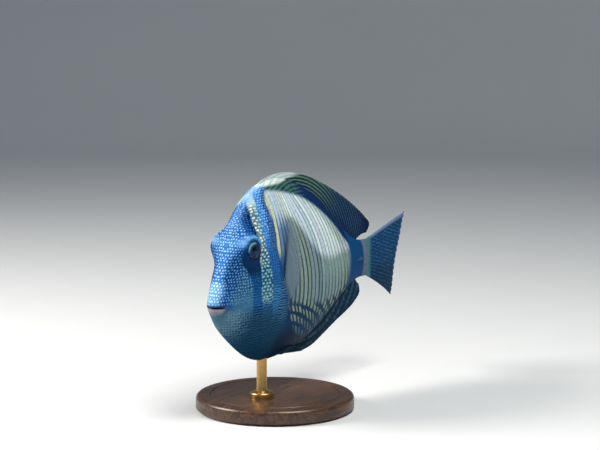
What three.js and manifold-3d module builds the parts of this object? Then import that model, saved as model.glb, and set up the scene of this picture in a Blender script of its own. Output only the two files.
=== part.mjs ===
// A life-size sailfin tang, swimming, on a plain display stand.
// The fish faces -X with its back to +Z and its left side to -Y. Lengths are in millimetres.
// Its shape is stated as fish are measured: in percent of standard length, which runs from the
// upper lip to the base of the tail fin, with x back from the lip and z up from the mouth line.
import * as THREE from "three";
import { mergeVertices } from "three/addons/utils/BufferGeometryUtils.js";
import Module from "manifold-3d";

const wasm = await Module();
wasm.setup();

// Driving dimensions
const STANDARD_LENGTH = 190;
const GAP = 0.3; // between pieces that touch
const NOSE_DOWN = 1.5; // degrees
const BELLY_CLEARANCE = 24; // from the stand's base up to the lowest point of the belly
const BASE_HEIGHT = 10;
const BASE_RADIUS = 54;
const ROD_RADIUS = 3.5;
const ROD_AT = 29; // percent of standard length, on the chest, ahead of the pelvic fins
const BASE_AT = 37; // percent of standard length, under the centre of mass

const PERCENT = STANDARD_LENGTH / 100;
const TAIL_END = 96; // where the flesh ends and the tail fin begins
const MEMBRANE = 0.3; // half the thickness of a fin's membrane at its margin

const mix = (a, b, t) => a + (b - a) * t;
const clamp = (t) => Math.min(1, Math.max(0, t));
const bump = (distance, spread) => Math.exp(-0.5 * (distance / spread) ** 2);
const smoothStep = (a, b, x) => {
  const t = clamp((x - a) / (b - a));
  return t * t * (3 - 2 * t);
};

// A smooth function through [x, y] points: a cubic in each span, with slopes from the neighbours.
function through(points) {
  const last = points.length - 1;
  const secant = (i) => (points[i + 1][1] - points[i][1]) / (points[i + 1][0] - points[i][0]);
  const slope = points.map((_, i) => {
    if (i === 0) return secant(0);
    if (i === last) return secant(last - 1);
    const before = points[i][0] - points[i - 1][0];
    const after = points[i + 1][0] - points[i][0];
    return (secant(i - 1) * after + secant(i) * before) / (before + after);
  });
  return (x) => {
    let i = 0;
    while (i < last - 1 && x > points[i + 1][0]) i++;
    const [x0, y0] = points[i];
    const [x1, y1] = points[i + 1];
    const h = x1 - x0;
    const t = clamp((x - x0) / h);
    const u = 1 - t;
    const values = (1 + 2 * t) * u * u * y0 + t * t * (3 - 2 * t) * y1;
    const slopes = t * u * u * h * slope[i] - t * t * u * h * slope[i + 1];
    return values + slopes;
  };
}

// Outline of the body without its fins: back, belly, half width and the height of the widest point
const back = through([
  [0, 1.8], [2, 5.6], [5, 11.4], [9, 19.4], [12, 25], [15, 29.3], [18.5, 33], [22.5, 36.2], [27, 38.5],
  [32, 39.8], [39, 40], [48, 38], [58, 33.2], [68, 26.4], [78, 18.4], [85, 13.2], [90, 10.9], [96, 10.3],
]);
const belly = through([
  [0, -2], [3, -6.2], [8, -12], [14, -17.4], [20, -21.3], [26, -23.3], [34, -23.7], [43, -22.8],
  [54, -20.4], [66, -15.2], [77, -9.4], [85, -5.4], [90, -4], [96, -3.9],
]);
const halfWidth = through([
  [0, 3.2], [3, 4.3], [8, 5.4], [14, 6.7], [20, 7.8], [28, 8.6], [36, 8.7], [46, 8.2],
  [58, 6.8], [70, 4.8], [80, 3.2], [88, 2.3], [96, 1.5],
]);
const widest = through([[0, -0.2], [10, 0.6], [20, 3.2], [36, 5], [60, 6], [80, 4.6], [90, 3.5], [96, 3.2]]);
// How sharp the back and the belly are: 1 is round, more is sharper
const ridge = through([[0, 1], [12, 0.8], [24, 0.85], [40, 1.1], [60, 1.15], [96, 1.1]]);
const KEEL = 1.1;

// Eyes are flattened balls that stand out on mounts, high on the head, and look a little forward
const EYE = { x: 14.3, y: 6.7, z: 18.4, radius: 3.6, depth: 3.1, forward: 9 };
const EYE_MOUNT = { x: 14.4, y: 7.9, z: 18.5, spread: 4.9 };
// The mouth is small and its line bows back to the corners
const LIPS = { halfGap: 0.16, round: 0.85, halfWidth: 2.8, flare: 0.55, bow: 2.6, overbite: 0.5 };
const MOUTH_DEPTH = 3.4;
// Rear edges of the gill cover and of the bone in front of it, as x for a height z
const gillEdge = through([
  [-30, 13], [-20, 19.5], [-12, 24.2], [-4, 27.6], [4, 29.2], [12, 29], [20, 27.4], [30, 25.6], [46, 24.4],
]);
const cheekEdge = through([[-22, 10.5], [-13, 15.6], [-5, 19.4], [4, 21.2], [12, 21.2], [20, 20.4]]);
const GILL_STEP = 0.28;
const CHEEK_STEP = 0.22;
// The flank swells a little where the pectoral fin is rooted
const SHOULDER = { x: 32, z: 0.4, rise: 0.45, spread: 2.6 };

// Half width of the flank at a height, without the local forms
function flank(x, z) {
  const middle = widest(x);
  const reach = z > middle ? back(x) - middle : middle - belly(x);
  const across = Math.sqrt(Math.max(0, 1 - ((z - middle) / reach) ** 2));
  return halfWidth(x) * across ** (z > middle ? ridge(x) : KEEL);
}

// What stands out of the plain flank: eye mounts, the steps behind cheek and gill cover, the fin's shoulder
function relief(x, z) {
  const fromEye = Math.hypot(x - EYE_MOUNT.x, z - EYE_MOUNT.z) / EYE_MOUNT.spread;
  const eye = (EYE_MOUNT.y - flank(x, z)) * Math.exp(-0.5 * fromEye ** 3.4);
  const gillSpan = smoothStep(-16, -8, z) * smoothStep(24, 16, z);
  const gill = gillSpan * smoothStep(gillEdge(z) + 0.5, gillEdge(z) - 1.5, x);
  const cheekSpan = smoothStep(-14, -6, z) * smoothStep(16, 8, z);
  const cheek = cheekSpan * smoothStep(cheekEdge(z) + 0.4, cheekEdge(z) - 1.6, x);
  const shoulder = SHOULDER.rise * bump(Math.hypot(x - SHOULDER.x, (z - SHOULDER.z) / 1.5), SHOULDER.spread);
  return eye + GILL_STEP * gill + CHEEK_STEP * cheek + shoulder;
}

// One ring of the body at station x and angle a, where a = 0 is the left flank and a quarter turn is the back
function bodyPoint(x, angle) {
  const up = Math.sin(angle);
  const side = Math.cos(angle);
  const middle = widest(x);
  const z = middle + up * (up > 0 ? back(x) - middle : middle - belly(x));
  const plain = halfWidth(x) * Math.abs(side) ** (up > 0 ? ridge(x) : KEEL);
  const y = plain + relief(x, z) * clamp(3 * Math.abs(side));
  const bow = LIPS.bow * (1 - smoothStep(0, 9, x)) * side * side;
  return [x + bow + LIPS.overbite * clamp(-up) * (1 - smoothStep(0, 6, x)), -Math.sign(side) * y, z];
}

// One ring of the lips, rolled from inside the mouth (roll = 0) out to the snout (roll = 1)
function lipPoint(roll, angle) {
  const turn = roll * Math.PI;
  const up = Math.sin(angle);
  const side = Math.cos(angle);
  const spread = LIPS.halfGap + LIPS.round * (1 - Math.cos(turn));
  const halfAcross = LIPS.halfWidth + LIPS.flare * (1 - Math.cos(turn));
  const x = 0.55 - LIPS.round * Math.sin(turn) + LIPS.bow * side * side + LIPS.overbite * clamp(-up);
  return [x, -side * halfAcross, -0.1 + up * spread];
}

// Meshes and solids
const toMillimetres = ([x, y, z]) => [x * PERCENT, y * PERCENT, z * PERCENT];

function solid(positions, index) {
  const geometry = new THREE.BufferGeometry();
  geometry.setAttribute("position", new THREE.Float32BufferAttribute(positions.flat(), 3));
  geometry.setIndex(index);
  return solidOf(geometry);
}

function solidOf(geometry) {
  const bare = geometry.clone();
  bare.deleteAttribute("normal");
  bare.deleteAttribute("uv");
  const merged = mergeVertices(bare, 1e-4);
  return new wasm.Manifold(
    new wasm.Mesh({
      numProp: 3,
      vertProperties: new Float32Array(merged.attributes.position.array),
      triVerts: new Uint32Array(merged.index.array),
    }),
  );
}

// Closes a list of rings into a solid: a quad between neighbours, split in two, and a fan at each end.
// The right side's quads are split the other way, so that it is a mirror image of the left.
function loft(rings, onRight = () => false) {
  const size = rings[0].length;
  const positions = rings.flat();
  const index = [];
  for (let i = 0; i < rings.length - 1; i++) {
    for (let j = 0; j < size; j++) {
      const a = i * size + j;
      const b = i * size + ((j + 1) % size);
      if (onRight(j)) index.push(a, b, b + size, a, b + size, a + size);
      else index.push(a, b, a + size, b, b + size, a + size);
    }
  }
  for (const [ring, first] of [[0, true], [rings.length - 1, false]]) {
    const centre = positions.length;
    const middle = [0, 1, 2].map((k) => rings[ring].reduce((sum, p) => sum + p[k], 0) / size);
    positions.push(middle);
    for (let j = 0; j < size; j++) {
      const a = ring * size + j;
      const b = ring * size + ((j + 1) % size);
      index.push(...(first ? [centre, b, a] : [centre, a, b]));
    }
  }
  const made = solid(positions, index);
  return made.volume() > 0 ? made : solid(positions, index.slice().reverse());
}

// The same solid with each vertex moved out along its normal
function grown(shape, distance) {
  const mesh = shape.getMesh();
  const geometry = new THREE.BufferGeometry();
  geometry.setAttribute("position", new THREE.Float32BufferAttribute(mesh.vertProperties, 3));
  geometry.setIndex([...mesh.triVerts]);
  geometry.computeVertexNormals();
  const at = geometry.attributes.position;
  const normal = geometry.attributes.normal;
  for (let i = 0; i < at.count; i++) {
    at.setXYZ(
      i,
      at.getX(i) + distance * normal.getX(i),
      at.getY(i) + distance * normal.getY(i),
      at.getZ(i) + distance * normal.getZ(i),
    );
  }
  return solidOf(geometry);
}

const largest = (shape) => shape.decompose().reduce((a, b) => (b.volume() > a.volume() ? b : a));

// A slab across the fish with this outline in side view, given as [x, z] points in percent
function slab(outline, low = -60, high = 60) {
  const shape = new THREE.Shape(outline.map(([x, z]) => new THREE.Vector2(x * PERCENT, z * PERCENT)));
  const geometry = new THREE.ExtrudeGeometry(shape, { depth: high - low, bevelEnabled: false });
  geometry.rotateX(Math.PI / 2);
  geometry.translate(0, high, 0);
  return solidOf(geometry);
}

// Points from one value to another, both included
const steps = (from, to, count) => Array.from({ length: count + 1 }, (_, i) => mix(from, to, i / count));

// The body, in one piece: its rings and the points round each ring lie closer together about the eyes
const upper = [...steps(0, 20, 2), ...steps(20, 60, 7).slice(1), ...steps(60, 90, 3).slice(1)];
const lower = steps(-90, 0, 10).slice(1, -1);
const leftSide = [...lower, ...upper];
const rightSide = leftSide.slice(0, -1).reverse().map((a) => 180 - a);
const angles = [...leftSide, ...rightSide, 270].map(THREE.MathUtils.degToRad);
const stations = [...steps(0.9, 8, 6), ...steps(8, 21, 11).slice(1), ...steps(21, TAIL_END, 22).slice(1)];
const bodyRings = [
  angles.map((a) => {
    const [x, y, z] = lipPoint(0, a);
    return [x + MOUTH_DEPTH, y * 0.8, z];
  }),
  ...[0, 0.3, 0.55, 0.8].map((roll) => angles.map((a) => lipPoint(roll, a))),
  ...stations.map((x) => angles.map((a) => bodyPoint(x, a))),
].map((ring) => ring.map(toMillimetres));
const body = loft(bodyRings, (j) => j >= leftSide.length - 1 && j < angles.length - 1);
const bodyAndGap = grown(body, GAP);

// Eyes: flattened balls set in sockets
function eyeball(side, extra = 0) {
  const ball = new THREE.SphereGeometry(1, 18, 10);
  ball.scale(EYE.radius * PERCENT + extra, EYE.depth * PERCENT + extra, EYE.radius * PERCENT + extra);
  ball.rotateZ(side * THREE.MathUtils.degToRad(EYE.forward));
  ball.translate(...toMillimetres([EYE.x, side * EYE.y, EYE.z]));
  return solidOf(ball);
}

// Nostrils: two small pits between eye and snout, on each side
const NOSTRILS = [
  { x: 8.1, z: 12.6, radius: 0.42 },
  { x: 9.3, z: 13.5, radius: 0.34 },
];
function nostril(side, { x, z, radius }) {
  const pit = new THREE.SphereGeometry(radius * PERCENT, 8, 6);
  pit.translate(...toMillimetres([x, side * (flank(x, z) + relief(x, z)), z]));
  return solidOf(pit);
}

// Gill covers: crescent plates let into the head between the two edges
const GILL = { top: 15.5, foot: -14, inner: 3.4, rim: 0.6 }; // inner is their distance from the middle plane
const gillOutline = (margin) => {
  const middle = (GILL.top + GILL.foot) / 2;
  const reach = (GILL.top - GILL.foot) / 2 + margin;
  return steps(0, 2 * Math.PI, 28).slice(0, 28).map((a) => {
    const z = middle + reach * Math.sign(Math.sin(a)) * Math.abs(Math.sin(a)) ** 0.8;
    const rear = gillEdge(z) - GILL.rim;
    const front = cheekEdge(z) + 0.4;
    const along = Math.sign(Math.cos(a)) * Math.abs(Math.cos(a)) ** 0.8;
    return [(rear + front) / 2 + along * ((rear - front) / 2 + margin), z];
  });
};
function gillPlate(side, margin) {
  const inner = (GILL.inner - margin) * PERCENT;
  return side < 0 ? slab(gillOutline(margin), -60, -inner) : slab(gillOutline(margin), inner, 60);
}

// Fins
// A fin is a sheet of rays with a ridge along each ray, a hollow membrane between and a scalloped margin.
// path(b, s) is the middle of the sheet, for a share b of the way from first ray to last and s from root to
// tip, and ridgeAt and membraneAt are half its thickness there.
function fin({ rays, rows, path, ridgeAt, membraneAt, scallop = 0.012 }) {
  const columns = 2 * rays - 1;
  const middle = Array.from({ length: columns }, (_, i) =>
    steps(0, 1, rows).map((s) => {
      const reach = i % 2 ? s * (1 - scallop) : s;
      return new THREE.Vector3(...toMillimetres(path(i / (columns - 1), reach)));
    }),
  );
  const at = (i, j) => middle[Math.min(columns - 1, Math.max(0, i))][Math.min(rows, Math.max(0, j))];
  const front = [];
  const behind = [];
  for (let i = 0; i < columns; i++) {
    for (let j = 0; j <= rows; j++) {
      const across = at(i + 1, j).clone().sub(at(i - 1, j));
      const along = at(i, j + 1).clone().sub(at(i, j - 1));
      const normal = across.cross(along).normalize();
      const half = (i % 2 ? membraneAt : ridgeAt)(j / rows, i / (columns - 1));
      front.push(at(i, j).clone().addScaledVector(normal, half).toArray());
      behind.push(at(i, j).clone().addScaledVector(normal, -half).toArray());
    }
  }
  const index = [];
  const count = front.length;
  const id = (i, j) => i * (rows + 1) + j;
  for (let i = 0; i < columns - 1; i++) {
    for (let j = 0; j < rows; j++) {
      const [a, b, c, d] = [id(i, j), id(i + 1, j), id(i + 1, j + 1), id(i, j + 1)];
      index.push(a, b, c, a, c, d, a + count, c + count, b + count, a + count, d + count, c + count);
    }
  }
  const rim = [
    ...Array.from({ length: columns - 1 }, (_, i) => id(i, 0)),
    ...Array.from({ length: rows }, (_, j) => id(columns - 1, j)),
    ...Array.from({ length: columns - 1 }, (_, i) => id(columns - 1 - i, rows)),
    ...Array.from({ length: rows }, (_, j) => id(0, rows - j)),
  ];
  rim.forEach((a, k) => {
    const b = rim[(k + 1) % rim.length];
    index.push(a, a + count, b, b, a + count, b + count);
  });
  const positions = [...front, ...behind];
  const made = solid(positions, index);
  return made.volume() > 0 ? made : solid(positions, index.slice().reverse());
}

// A ray as a curve from root to tip that starts out along a lead direction
function bend(root, lead, tip, s) {
  const u = 1 - s;
  return root.map((r, k) => u * u * r + 2 * s * u * (r + lead[k]) + s * s * tip[k]);
}
const fade = (thick, thin, reach) => (s) => thin + (thick - thin) * Math.exp(-s / reach);

// Both long fins are folded well back, as the fish carries them while it cruises
const FIN_SINK = 1.6;
const dorsalTip = {
  x: through([
    [0, 30], [0.05, 35], [0.12, 42.5], [0.25, 57], [0.4, 71], [0.55, 82], [0.7, 90.5], [0.82, 96],
    [0.92, 99.2], [1, 97],
  ]),
  z: through([
    [0, 40.1], [0.05, 41.2], [0.12, 41.7], [0.25, 39], [0.4, 33.6], [0.55, 28.1], [0.7, 22.9], [0.82, 18.9],
    [0.92, 15.6], [1, 12.6],
  ]),
};
function dorsalPath(b, s) {
  const x = mix(27, 88, b);
  const root = [x, 0, back(x) - FIN_SINK];
  const tip = [dorsalTip.x(b), 0, dorsalTip.z(b)];
  const lead = [(tip[0] - x) * 0.42, 0, (tip[2] - root[2]) * 0.5 + 1.6];
  return bend(root, lead, tip, s);
}
const analTip = {
  x: through([
    [0, 46.8], [0.08, 51], [0.2, 58.5], [0.35, 67], [0.5, 75], [0.65, 82], [0.8, 88], [0.92, 91.8], [1, 91.2],
  ]),
  z: through([
    [0, -24.2], [0.08, -24.9], [0.2, -24.2], [0.35, -21.2], [0.5, -18], [0.65, -15.5], [0.8, -12.8],
    [0.92, -9.4], [1, -6.2],
  ]),
};
function analPath(b, s) {
  const x = mix(44, 88, b);
  const root = [x, 0, belly(x) + FIN_SINK];
  const tip = [analTip.x(b), 0, analTip.z(b)];
  const lead = [(tip[0] - x) * 0.42, 0, (tip[2] - root[2]) * 0.5 - 1.2];
  return bend(root, lead, tip, s);
}
// The tail fin is spread, almost straight behind, and twists as it sweeps: upper lobe left, lower lobe right
const TAIL_TWIST = 0.178;
const TAIL_SWEEP = 0.7;
const tailTip = {
  x: through([[0, 121.6], [0.12, 121.2], [0.3, 120.8], [0.5, 120], [0.7, 120], [0.88, 120.5], [1, 120.4]]),
  z: through([[0, 17.8], [0.12, 14.4], [0.3, 8.2], [0.5, 1.2], [0.7, -6], [0.88, -12.4], [1, -15.8]]),
};
function tailPath(b, s) {
  const root = [TAIL_END - 2, 0, mix(9.3, -2.9, b)];
  const tip = [tailTip.x(b), 0, tailTip.z(b)];
  const lead = [9, 0, (tip[2] - root[2]) * 0.28];
  const [x, , z] = bend(root, lead, tip, s);
  return [x, (TAIL_SWEEP - TAIL_TWIST * (z - 3.2)) * s * s, z];
}
// The pectoral fin is raised against the flank, its leading ray almost upright
const PECTORAL_STAND_OFF = 2.8;
const pectoralTip = {
  x: through([[0, 32.2], [0.15, 33.9], [0.3, 35.5], [0.5, 36.9], [0.7, 37.5], [0.85, 37.3], [1, 36]]),
  z: through([[0, 27], [0.15, 27.7], [0.3, 26.2], [0.5, 22], [0.7, 15.6], [0.85, 9.8], [1, 4.8]]),
};
function pectoralPath(side) {
  return (b, s) => {
    const root = [mix(30.2, 33.2, b), mix(3.4, -3, b)];
    const lead = [mix(0.5, 2, b), mix(9.5, 4, b)];
    const tip = [pectoralTip.x(b), pectoralTip.z(b)];
    const [x, z] = bend(root, lead, tip, s);
    const away = mix(-1.1, 0.3, clamp(s * 6)) + PECTORAL_STAND_OFF * s ** 1.35;
    return [x, side * (flank(x, z) + relief(x, z) + away), z];
  };
}
// The pelvic fins are folded back along the sides of the keel
const pelvicTip = {
  x: through([[0, 50.8], [0.25, 50], [0.5, 48.6], [0.75, 46.6], [1, 44.2]]),
  z: through([[0, -24.5], [0.25, -23.8], [0.5, -23], [0.75, -22.2], [1, -21.4]]),
};
function pelvicPath(side) {
  return (b, s) => {
    const root = [mix(33.2, 36, b), mix(-22.2, -20.4, b)];
    const tip = [pelvicTip.x(b), pelvicTip.z(b)];
    const [x, z] = bend(root, [5, mix(-0.9, -0.2, b)], tip, s);
    const away = mix(-0.9, 0.62, clamp(s * 5));
    return [x, side * (Math.max(flank(x, z), mix(1.1, 1.6, b)) + away), z];
  };
}

const dorsal = fin({
  rays: 32,
  rows: 6,
  path: dorsalPath,
  ridgeAt: fade(1.25, MEMBRANE + 0.18, 0.35),
  membraneAt: fade(0.85, MEMBRANE, 0.3),
});
const anal = fin({
  rays: 26,
  rows: 5,
  path: analPath,
  ridgeAt: fade(1.15, MEMBRANE + 0.18, 0.35),
  membraneAt: fade(0.8, MEMBRANE, 0.3),
});
// At its root the tail fin is as thick as the stalk it grows from, which is thickest at mid height
const rootProfile = (b) => Math.sqrt(Math.max(0, 1 - (2 * b - 1) ** 2));
const tailFin = fin({
  rays: 16,
  rows: 6,
  path: tailPath,
  ridgeAt: (s, b) => fade(0.6 + 2.5 * rootProfile(b), MEMBRANE + 0.25, 0.2)(s),
  membraneAt: (s, b) => fade(0.5 + 2.3 * rootProfile(b), MEMBRANE, 0.16)(s),
});
const pectoral = (side) => fin({
  rays: 15,
  rows: 6,
  path: pectoralPath(side),
  ridgeAt: fade(0.95, MEMBRANE + 0.1, 0.3),
  membraneAt: fade(0.7, MEMBRANE - 0.04, 0.25),
});
const pelvic = (side) => fin({
  rays: 6,
  rows: 5,
  path: pelvicPath(side),
  ridgeAt: fade(1, MEMBRANE + 0.15, 0.35),
  membraneAt: fade(0.75, MEMBRANE, 0.3),
});

// The spine on each side of the tail stalk that gives surgeonfish their name, folded into its groove
const SPINE = { from: 86.4, to: 91.4, z: 3.5, radius: 0.62 };
function tailSpine(side) {
  const rings = steps(0, 1, 8).map((t) => {
    const x = mix(SPINE.from, SPINE.to, t);
    const r = SPINE.radius * Math.sin(Math.PI * mix(0.04, 0.96, t)) ** 0.7;
    const y = flank(x, SPINE.z) + 0.1;
    return steps(0, 2 * Math.PI, 10).slice(0, 10).map((a) =>
      toMillimetres([x, side * (y + 0.6 * r * Math.cos(a)), SPINE.z + r * Math.sin(a)]));
  });
  return loft(rings);
}

// Head, trunk and tail stalk are parted by thin cuts through the one body
const halfGap = GAP / 2 / PERCENT;
const heights = steps(-40, 52, 24);
const gillLine = (shift) => heights.map((z) => [gillEdge(z) + shift, z]);
const STALK_AT = 84;
const headRegion = slab([...gillLine(-halfGap), [-20, 52], [-20, -40]]);
const trunkOutline = [...gillLine(halfGap), [STALK_AT - halfGap, 52], [STALK_AT - halfGap, -40]];
const trunkRegion = slab(trunkOutline.reverse());
const STALK_END = TAIL_END - 0.5;
const band = (from, to) => slab([[from, -60], [to, -60], [to, 60], [from, 60]]);
const stalkRegion = band(STALK_AT + halfGap, STALK_END);
const tailRegion = band(STALK_END + 2 * halfGap, 140);

const LEFT = -1;
const RIGHT = 1;
const SIDES = [["left", LEFT], ["right", RIGHT]];
const solids = {};
solids.head = SIDES.reduce(
  (head, [, side]) =>
    NOSTRILS.reduce((h, n) => h.subtract(nostril(side, n)), head)
      .subtract(eyeball(side, GAP))
      .subtract(gillPlate(side, 2 * halfGap)),
  body.intersect(headRegion),
);
solids.trunk = body.intersect(trunkRegion);
solids.tail_stalk = body.intersect(stalkRegion);
solids.tail_fin = tailFin.intersect(tailRegion);
solids.dorsal_fin = dorsal.subtract(bodyAndGap);
solids.anal_fin = anal.subtract(bodyAndGap);
for (const [name, side] of SIDES) {
  solids[`eye_${name}`] = eyeball(side);
  solids[`gill_cover_${name}`] = body.intersect(gillPlate(side, 0));
  solids[`pectoral_fin_${name}`] = pectoral(side).subtract(bodyAndGap);
  solids[`pelvic_fin_${name}`] = pelvic(side).subtract(bodyAndGap);
  solids[`tail_spine_${name}`] = tailSpine(side).subtract(bodyAndGap);
}

// From the fish's own frame to its place on the stand
const lowest = -belly(32) * PERCENT;
const place = new THREE.Matrix4()
  .makeTranslation(-BASE_AT * PERCENT, 0, BASE_HEIGHT + BELLY_CLEARANCE + lowest)
  .multiply(new THREE.Matrix4().makeRotationY(THREE.MathUtils.degToRad(-NOSE_DOWN)));

function geometryOf(shape) {
  const mesh = shape.getMesh();
  const geometry = new THREE.BufferGeometry();
  geometry.setAttribute("position", new THREE.Float32BufferAttribute(mesh.vertProperties, 3));
  geometry.setIndex([...mesh.triVerts]);
  return geometry;
}

const posed = (shape) => geometryOf(shape).applyMatrix4(place);

// Finishes, by the node's name
function finish(color, roughness, metalness = 0) {
  return new THREE.MeshStandardMaterial({ color, roughness, metalness });
}
const skin = finish("#2f5f8f", 0.45);
const membrane = finish("#143a56", 0.5);
const FINISHES = {
  trunk: finish("#7f9aa0", 0.45),
  eye: finish("#10151c", 0.08),
  pectoral: finish("#8a9a96", 0.5),
  tail_spine: finish("#c9d3d0", 0.35),
  wood: finish("#2a1d15", 0.35),
  brass: finish("#b08d57", 0.3, 1),
};
function finishOf(name) {
  if (name.startsWith("eye")) return FINISHES.eye;
  if (name.startsWith("pectoral")) return FINISHES.pectoral;
  if (name.startsWith("tail_spine")) return FINISHES.tail_spine;
  if (name === "trunk") return FINISHES.trunk;
  return name.includes("fin") ? membrane : skin;
}

const fish = new THREE.Group();
for (const [name, shape] of Object.entries(solids)) {
  const mesh = new THREE.Mesh(posed(largest(shape)), finishOf(name));
  mesh.name = name;
  fish.add(mesh);
}

// The stand: a turned wooden base, and a brass rod with a collar that ends at the chest
const BASE_EDGE = 3;
const baseProfile = [
  [0, 0], [BASE_RADIUS - 1, 0], [BASE_RADIUS, 1], [BASE_RADIUS, BASE_HEIGHT - BASE_EDGE],
  ...steps(0, Math.PI / 2, 4).slice(1).map((a) => [
    BASE_RADIUS - BASE_EDGE + BASE_EDGE * Math.cos(a),
    BASE_HEIGHT - BASE_EDGE + BASE_EDGE * Math.sin(a),
  ]),
  [0, BASE_HEIGHT],
].map(([r, z]) => new THREE.Vector2(r, z));
const upright = (geometry) => geometry.rotateX(Math.PI / 2);
const base = new THREE.Mesh(upright(new THREE.LatheGeometry(baseProfile, 40)), FINISHES.wood);
base.name = "stand_base";

const COLLAR = { radius: 8, height: 4, neck: 5 };
const rodTop = BASE_HEIGHT + BELLY_CLEARANCE + 12;
const rodProfile = [
  [0, BASE_HEIGHT + GAP], [COLLAR.radius, BASE_HEIGHT + GAP], [COLLAR.radius, BASE_HEIGHT + 2],
  [COLLAR.neck, BASE_HEIGHT + COLLAR.height], [ROD_RADIUS, BASE_HEIGHT + COLLAR.height + 1],
  [ROD_RADIUS, rodTop], [0, rodTop],
].map(([r, z]) => new THREE.Vector2(r, z));
const rodLathe = upright(new THREE.LatheGeometry(rodProfile, 20));
const rodStock = rodLathe.translate((ROD_AT - BASE_AT) * PERCENT, 0, 0);
const rodShape = largest(solidOf(rodStock).subtract(solidOf(posed(bodyAndGap))));
const rod = new THREE.Mesh(geometryOf(rodShape), FINISHES.brass);
rod.name = "stand_rod";

const model = new THREE.Group();
model.add(fish, base, rod);

export default model;
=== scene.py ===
# %% [markdown]
# A sailfin tang, modelled life-size on a display stand, as a museum would show it.
# The fixed frame gives every part its place, and this script adds the looks on top of it:
# one skin for head, trunk and tail stalk, thin rayed fins, wet eyes, and the stand's wood and brass.

import bpy
import numpy as np
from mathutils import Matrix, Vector


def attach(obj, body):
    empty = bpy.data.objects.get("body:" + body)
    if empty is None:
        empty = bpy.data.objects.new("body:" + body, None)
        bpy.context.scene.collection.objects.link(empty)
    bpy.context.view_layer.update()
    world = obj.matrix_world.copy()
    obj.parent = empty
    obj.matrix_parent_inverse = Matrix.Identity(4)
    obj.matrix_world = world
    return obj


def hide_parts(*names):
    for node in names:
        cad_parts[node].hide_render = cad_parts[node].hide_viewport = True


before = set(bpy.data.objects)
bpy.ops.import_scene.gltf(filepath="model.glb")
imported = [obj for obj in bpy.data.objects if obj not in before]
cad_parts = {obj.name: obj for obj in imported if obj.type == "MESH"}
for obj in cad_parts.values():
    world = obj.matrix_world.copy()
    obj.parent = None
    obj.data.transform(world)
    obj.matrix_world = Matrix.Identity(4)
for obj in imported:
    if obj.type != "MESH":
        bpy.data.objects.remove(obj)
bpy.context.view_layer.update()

# %% [markdown]
# Sizes are in percent of the fish's length from lip to tail root, 190 mm, as in a drawing of the species:
# x runs back from the upper lip, y to the right side and z up from the mouth.
# `placed` turns such points into metres on the stand, with the nose 1.5 degrees down.

# %% Units and placing
PERCENT = 0.0019
NOSE_DOWN = np.radians(1.5)
BASE_AT = 37.0
BASE_TOP = 0.010
BELLY_CLEARANCE = 0.024


def through(points):
    """Smooth curve through (at, value) points.
    Between two points it is the cubic (1+2t)(1-t)^2 y0 + t(1-t)^2 h m0 + t^2(3-2t) y1 - t^2(1-t) h m1."""
    at, value = np.array(points, float).T
    gap = np.diff(at)
    secant = np.diff(value) / gap
    slope = np.empty_like(value)
    slope[0], slope[-1] = secant[0], secant[-1]
    slope[1:-1] = (secant[:-1] * gap[1:] + secant[1:] * gap[:-1]) / (gap[:-1] + gap[1:])

    def curve(q):
        q = np.clip(q, at[0], at[-1])
        i = np.clip(np.searchsorted(at, q, side="right") - 1, 0, len(gap) - 1)
        t = (q - at[i]) / gap[i]
        u = 1 - t
        start = (1 + 2 * t) * u * u * value[i] + t * u * u * gap[i] * slope[i]
        return start + t * t * (3 - 2 * t) * value[i + 1] - t * t * u * gap[i] * slope[i + 1]

    return curve


def smooth(low, high, value):
    """0 at low, 1 at high, t^2 (3 - 2t) between."""
    t = np.clip((value - low) / (high - low), 0, 1)
    return t * t * (3 - 2 * t)


def mix(a, b, t):
    return a + (b - a) * t


belly = through([[0, -2], [3, -6.2], [8, -12], [14, -17.4], [20, -21.3], [26, -23.3], [34, -23.7],
                 [43, -22.8], [54, -20.4], [66, -15.2], [77, -9.4], [85, -5.4], [90, -4], [96, -3.9]])
LIFT = BASE_TOP + BELLY_CLEARANCE - float(belly(32)) * PERCENT


def placed(p):
    """Percent to metres: turned nose down about the lip, then moved so that the stand's centre is at x = 0."""
    c, s = np.cos(NOSE_DOWN), np.sin(NOSE_DOWN)
    x, y, z = p[..., 0], p[..., 1], p[..., 2]
    return np.stack([(c * x - s * z - BASE_AT) * PERCENT, y * PERCENT, (s * x + c * z) * PERCENT + LIFT], -1)


print("mouth at", placed(np.zeros(3)).round(4))

# %% [markdown]
# Every surface here is a grid of points, wrapped round like a sleeve and zipped shut at both ends.
# One function makes the mesh from the whole array, turns its faces outward and stores named values
# on its points, which the materials read as patterns.

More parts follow.
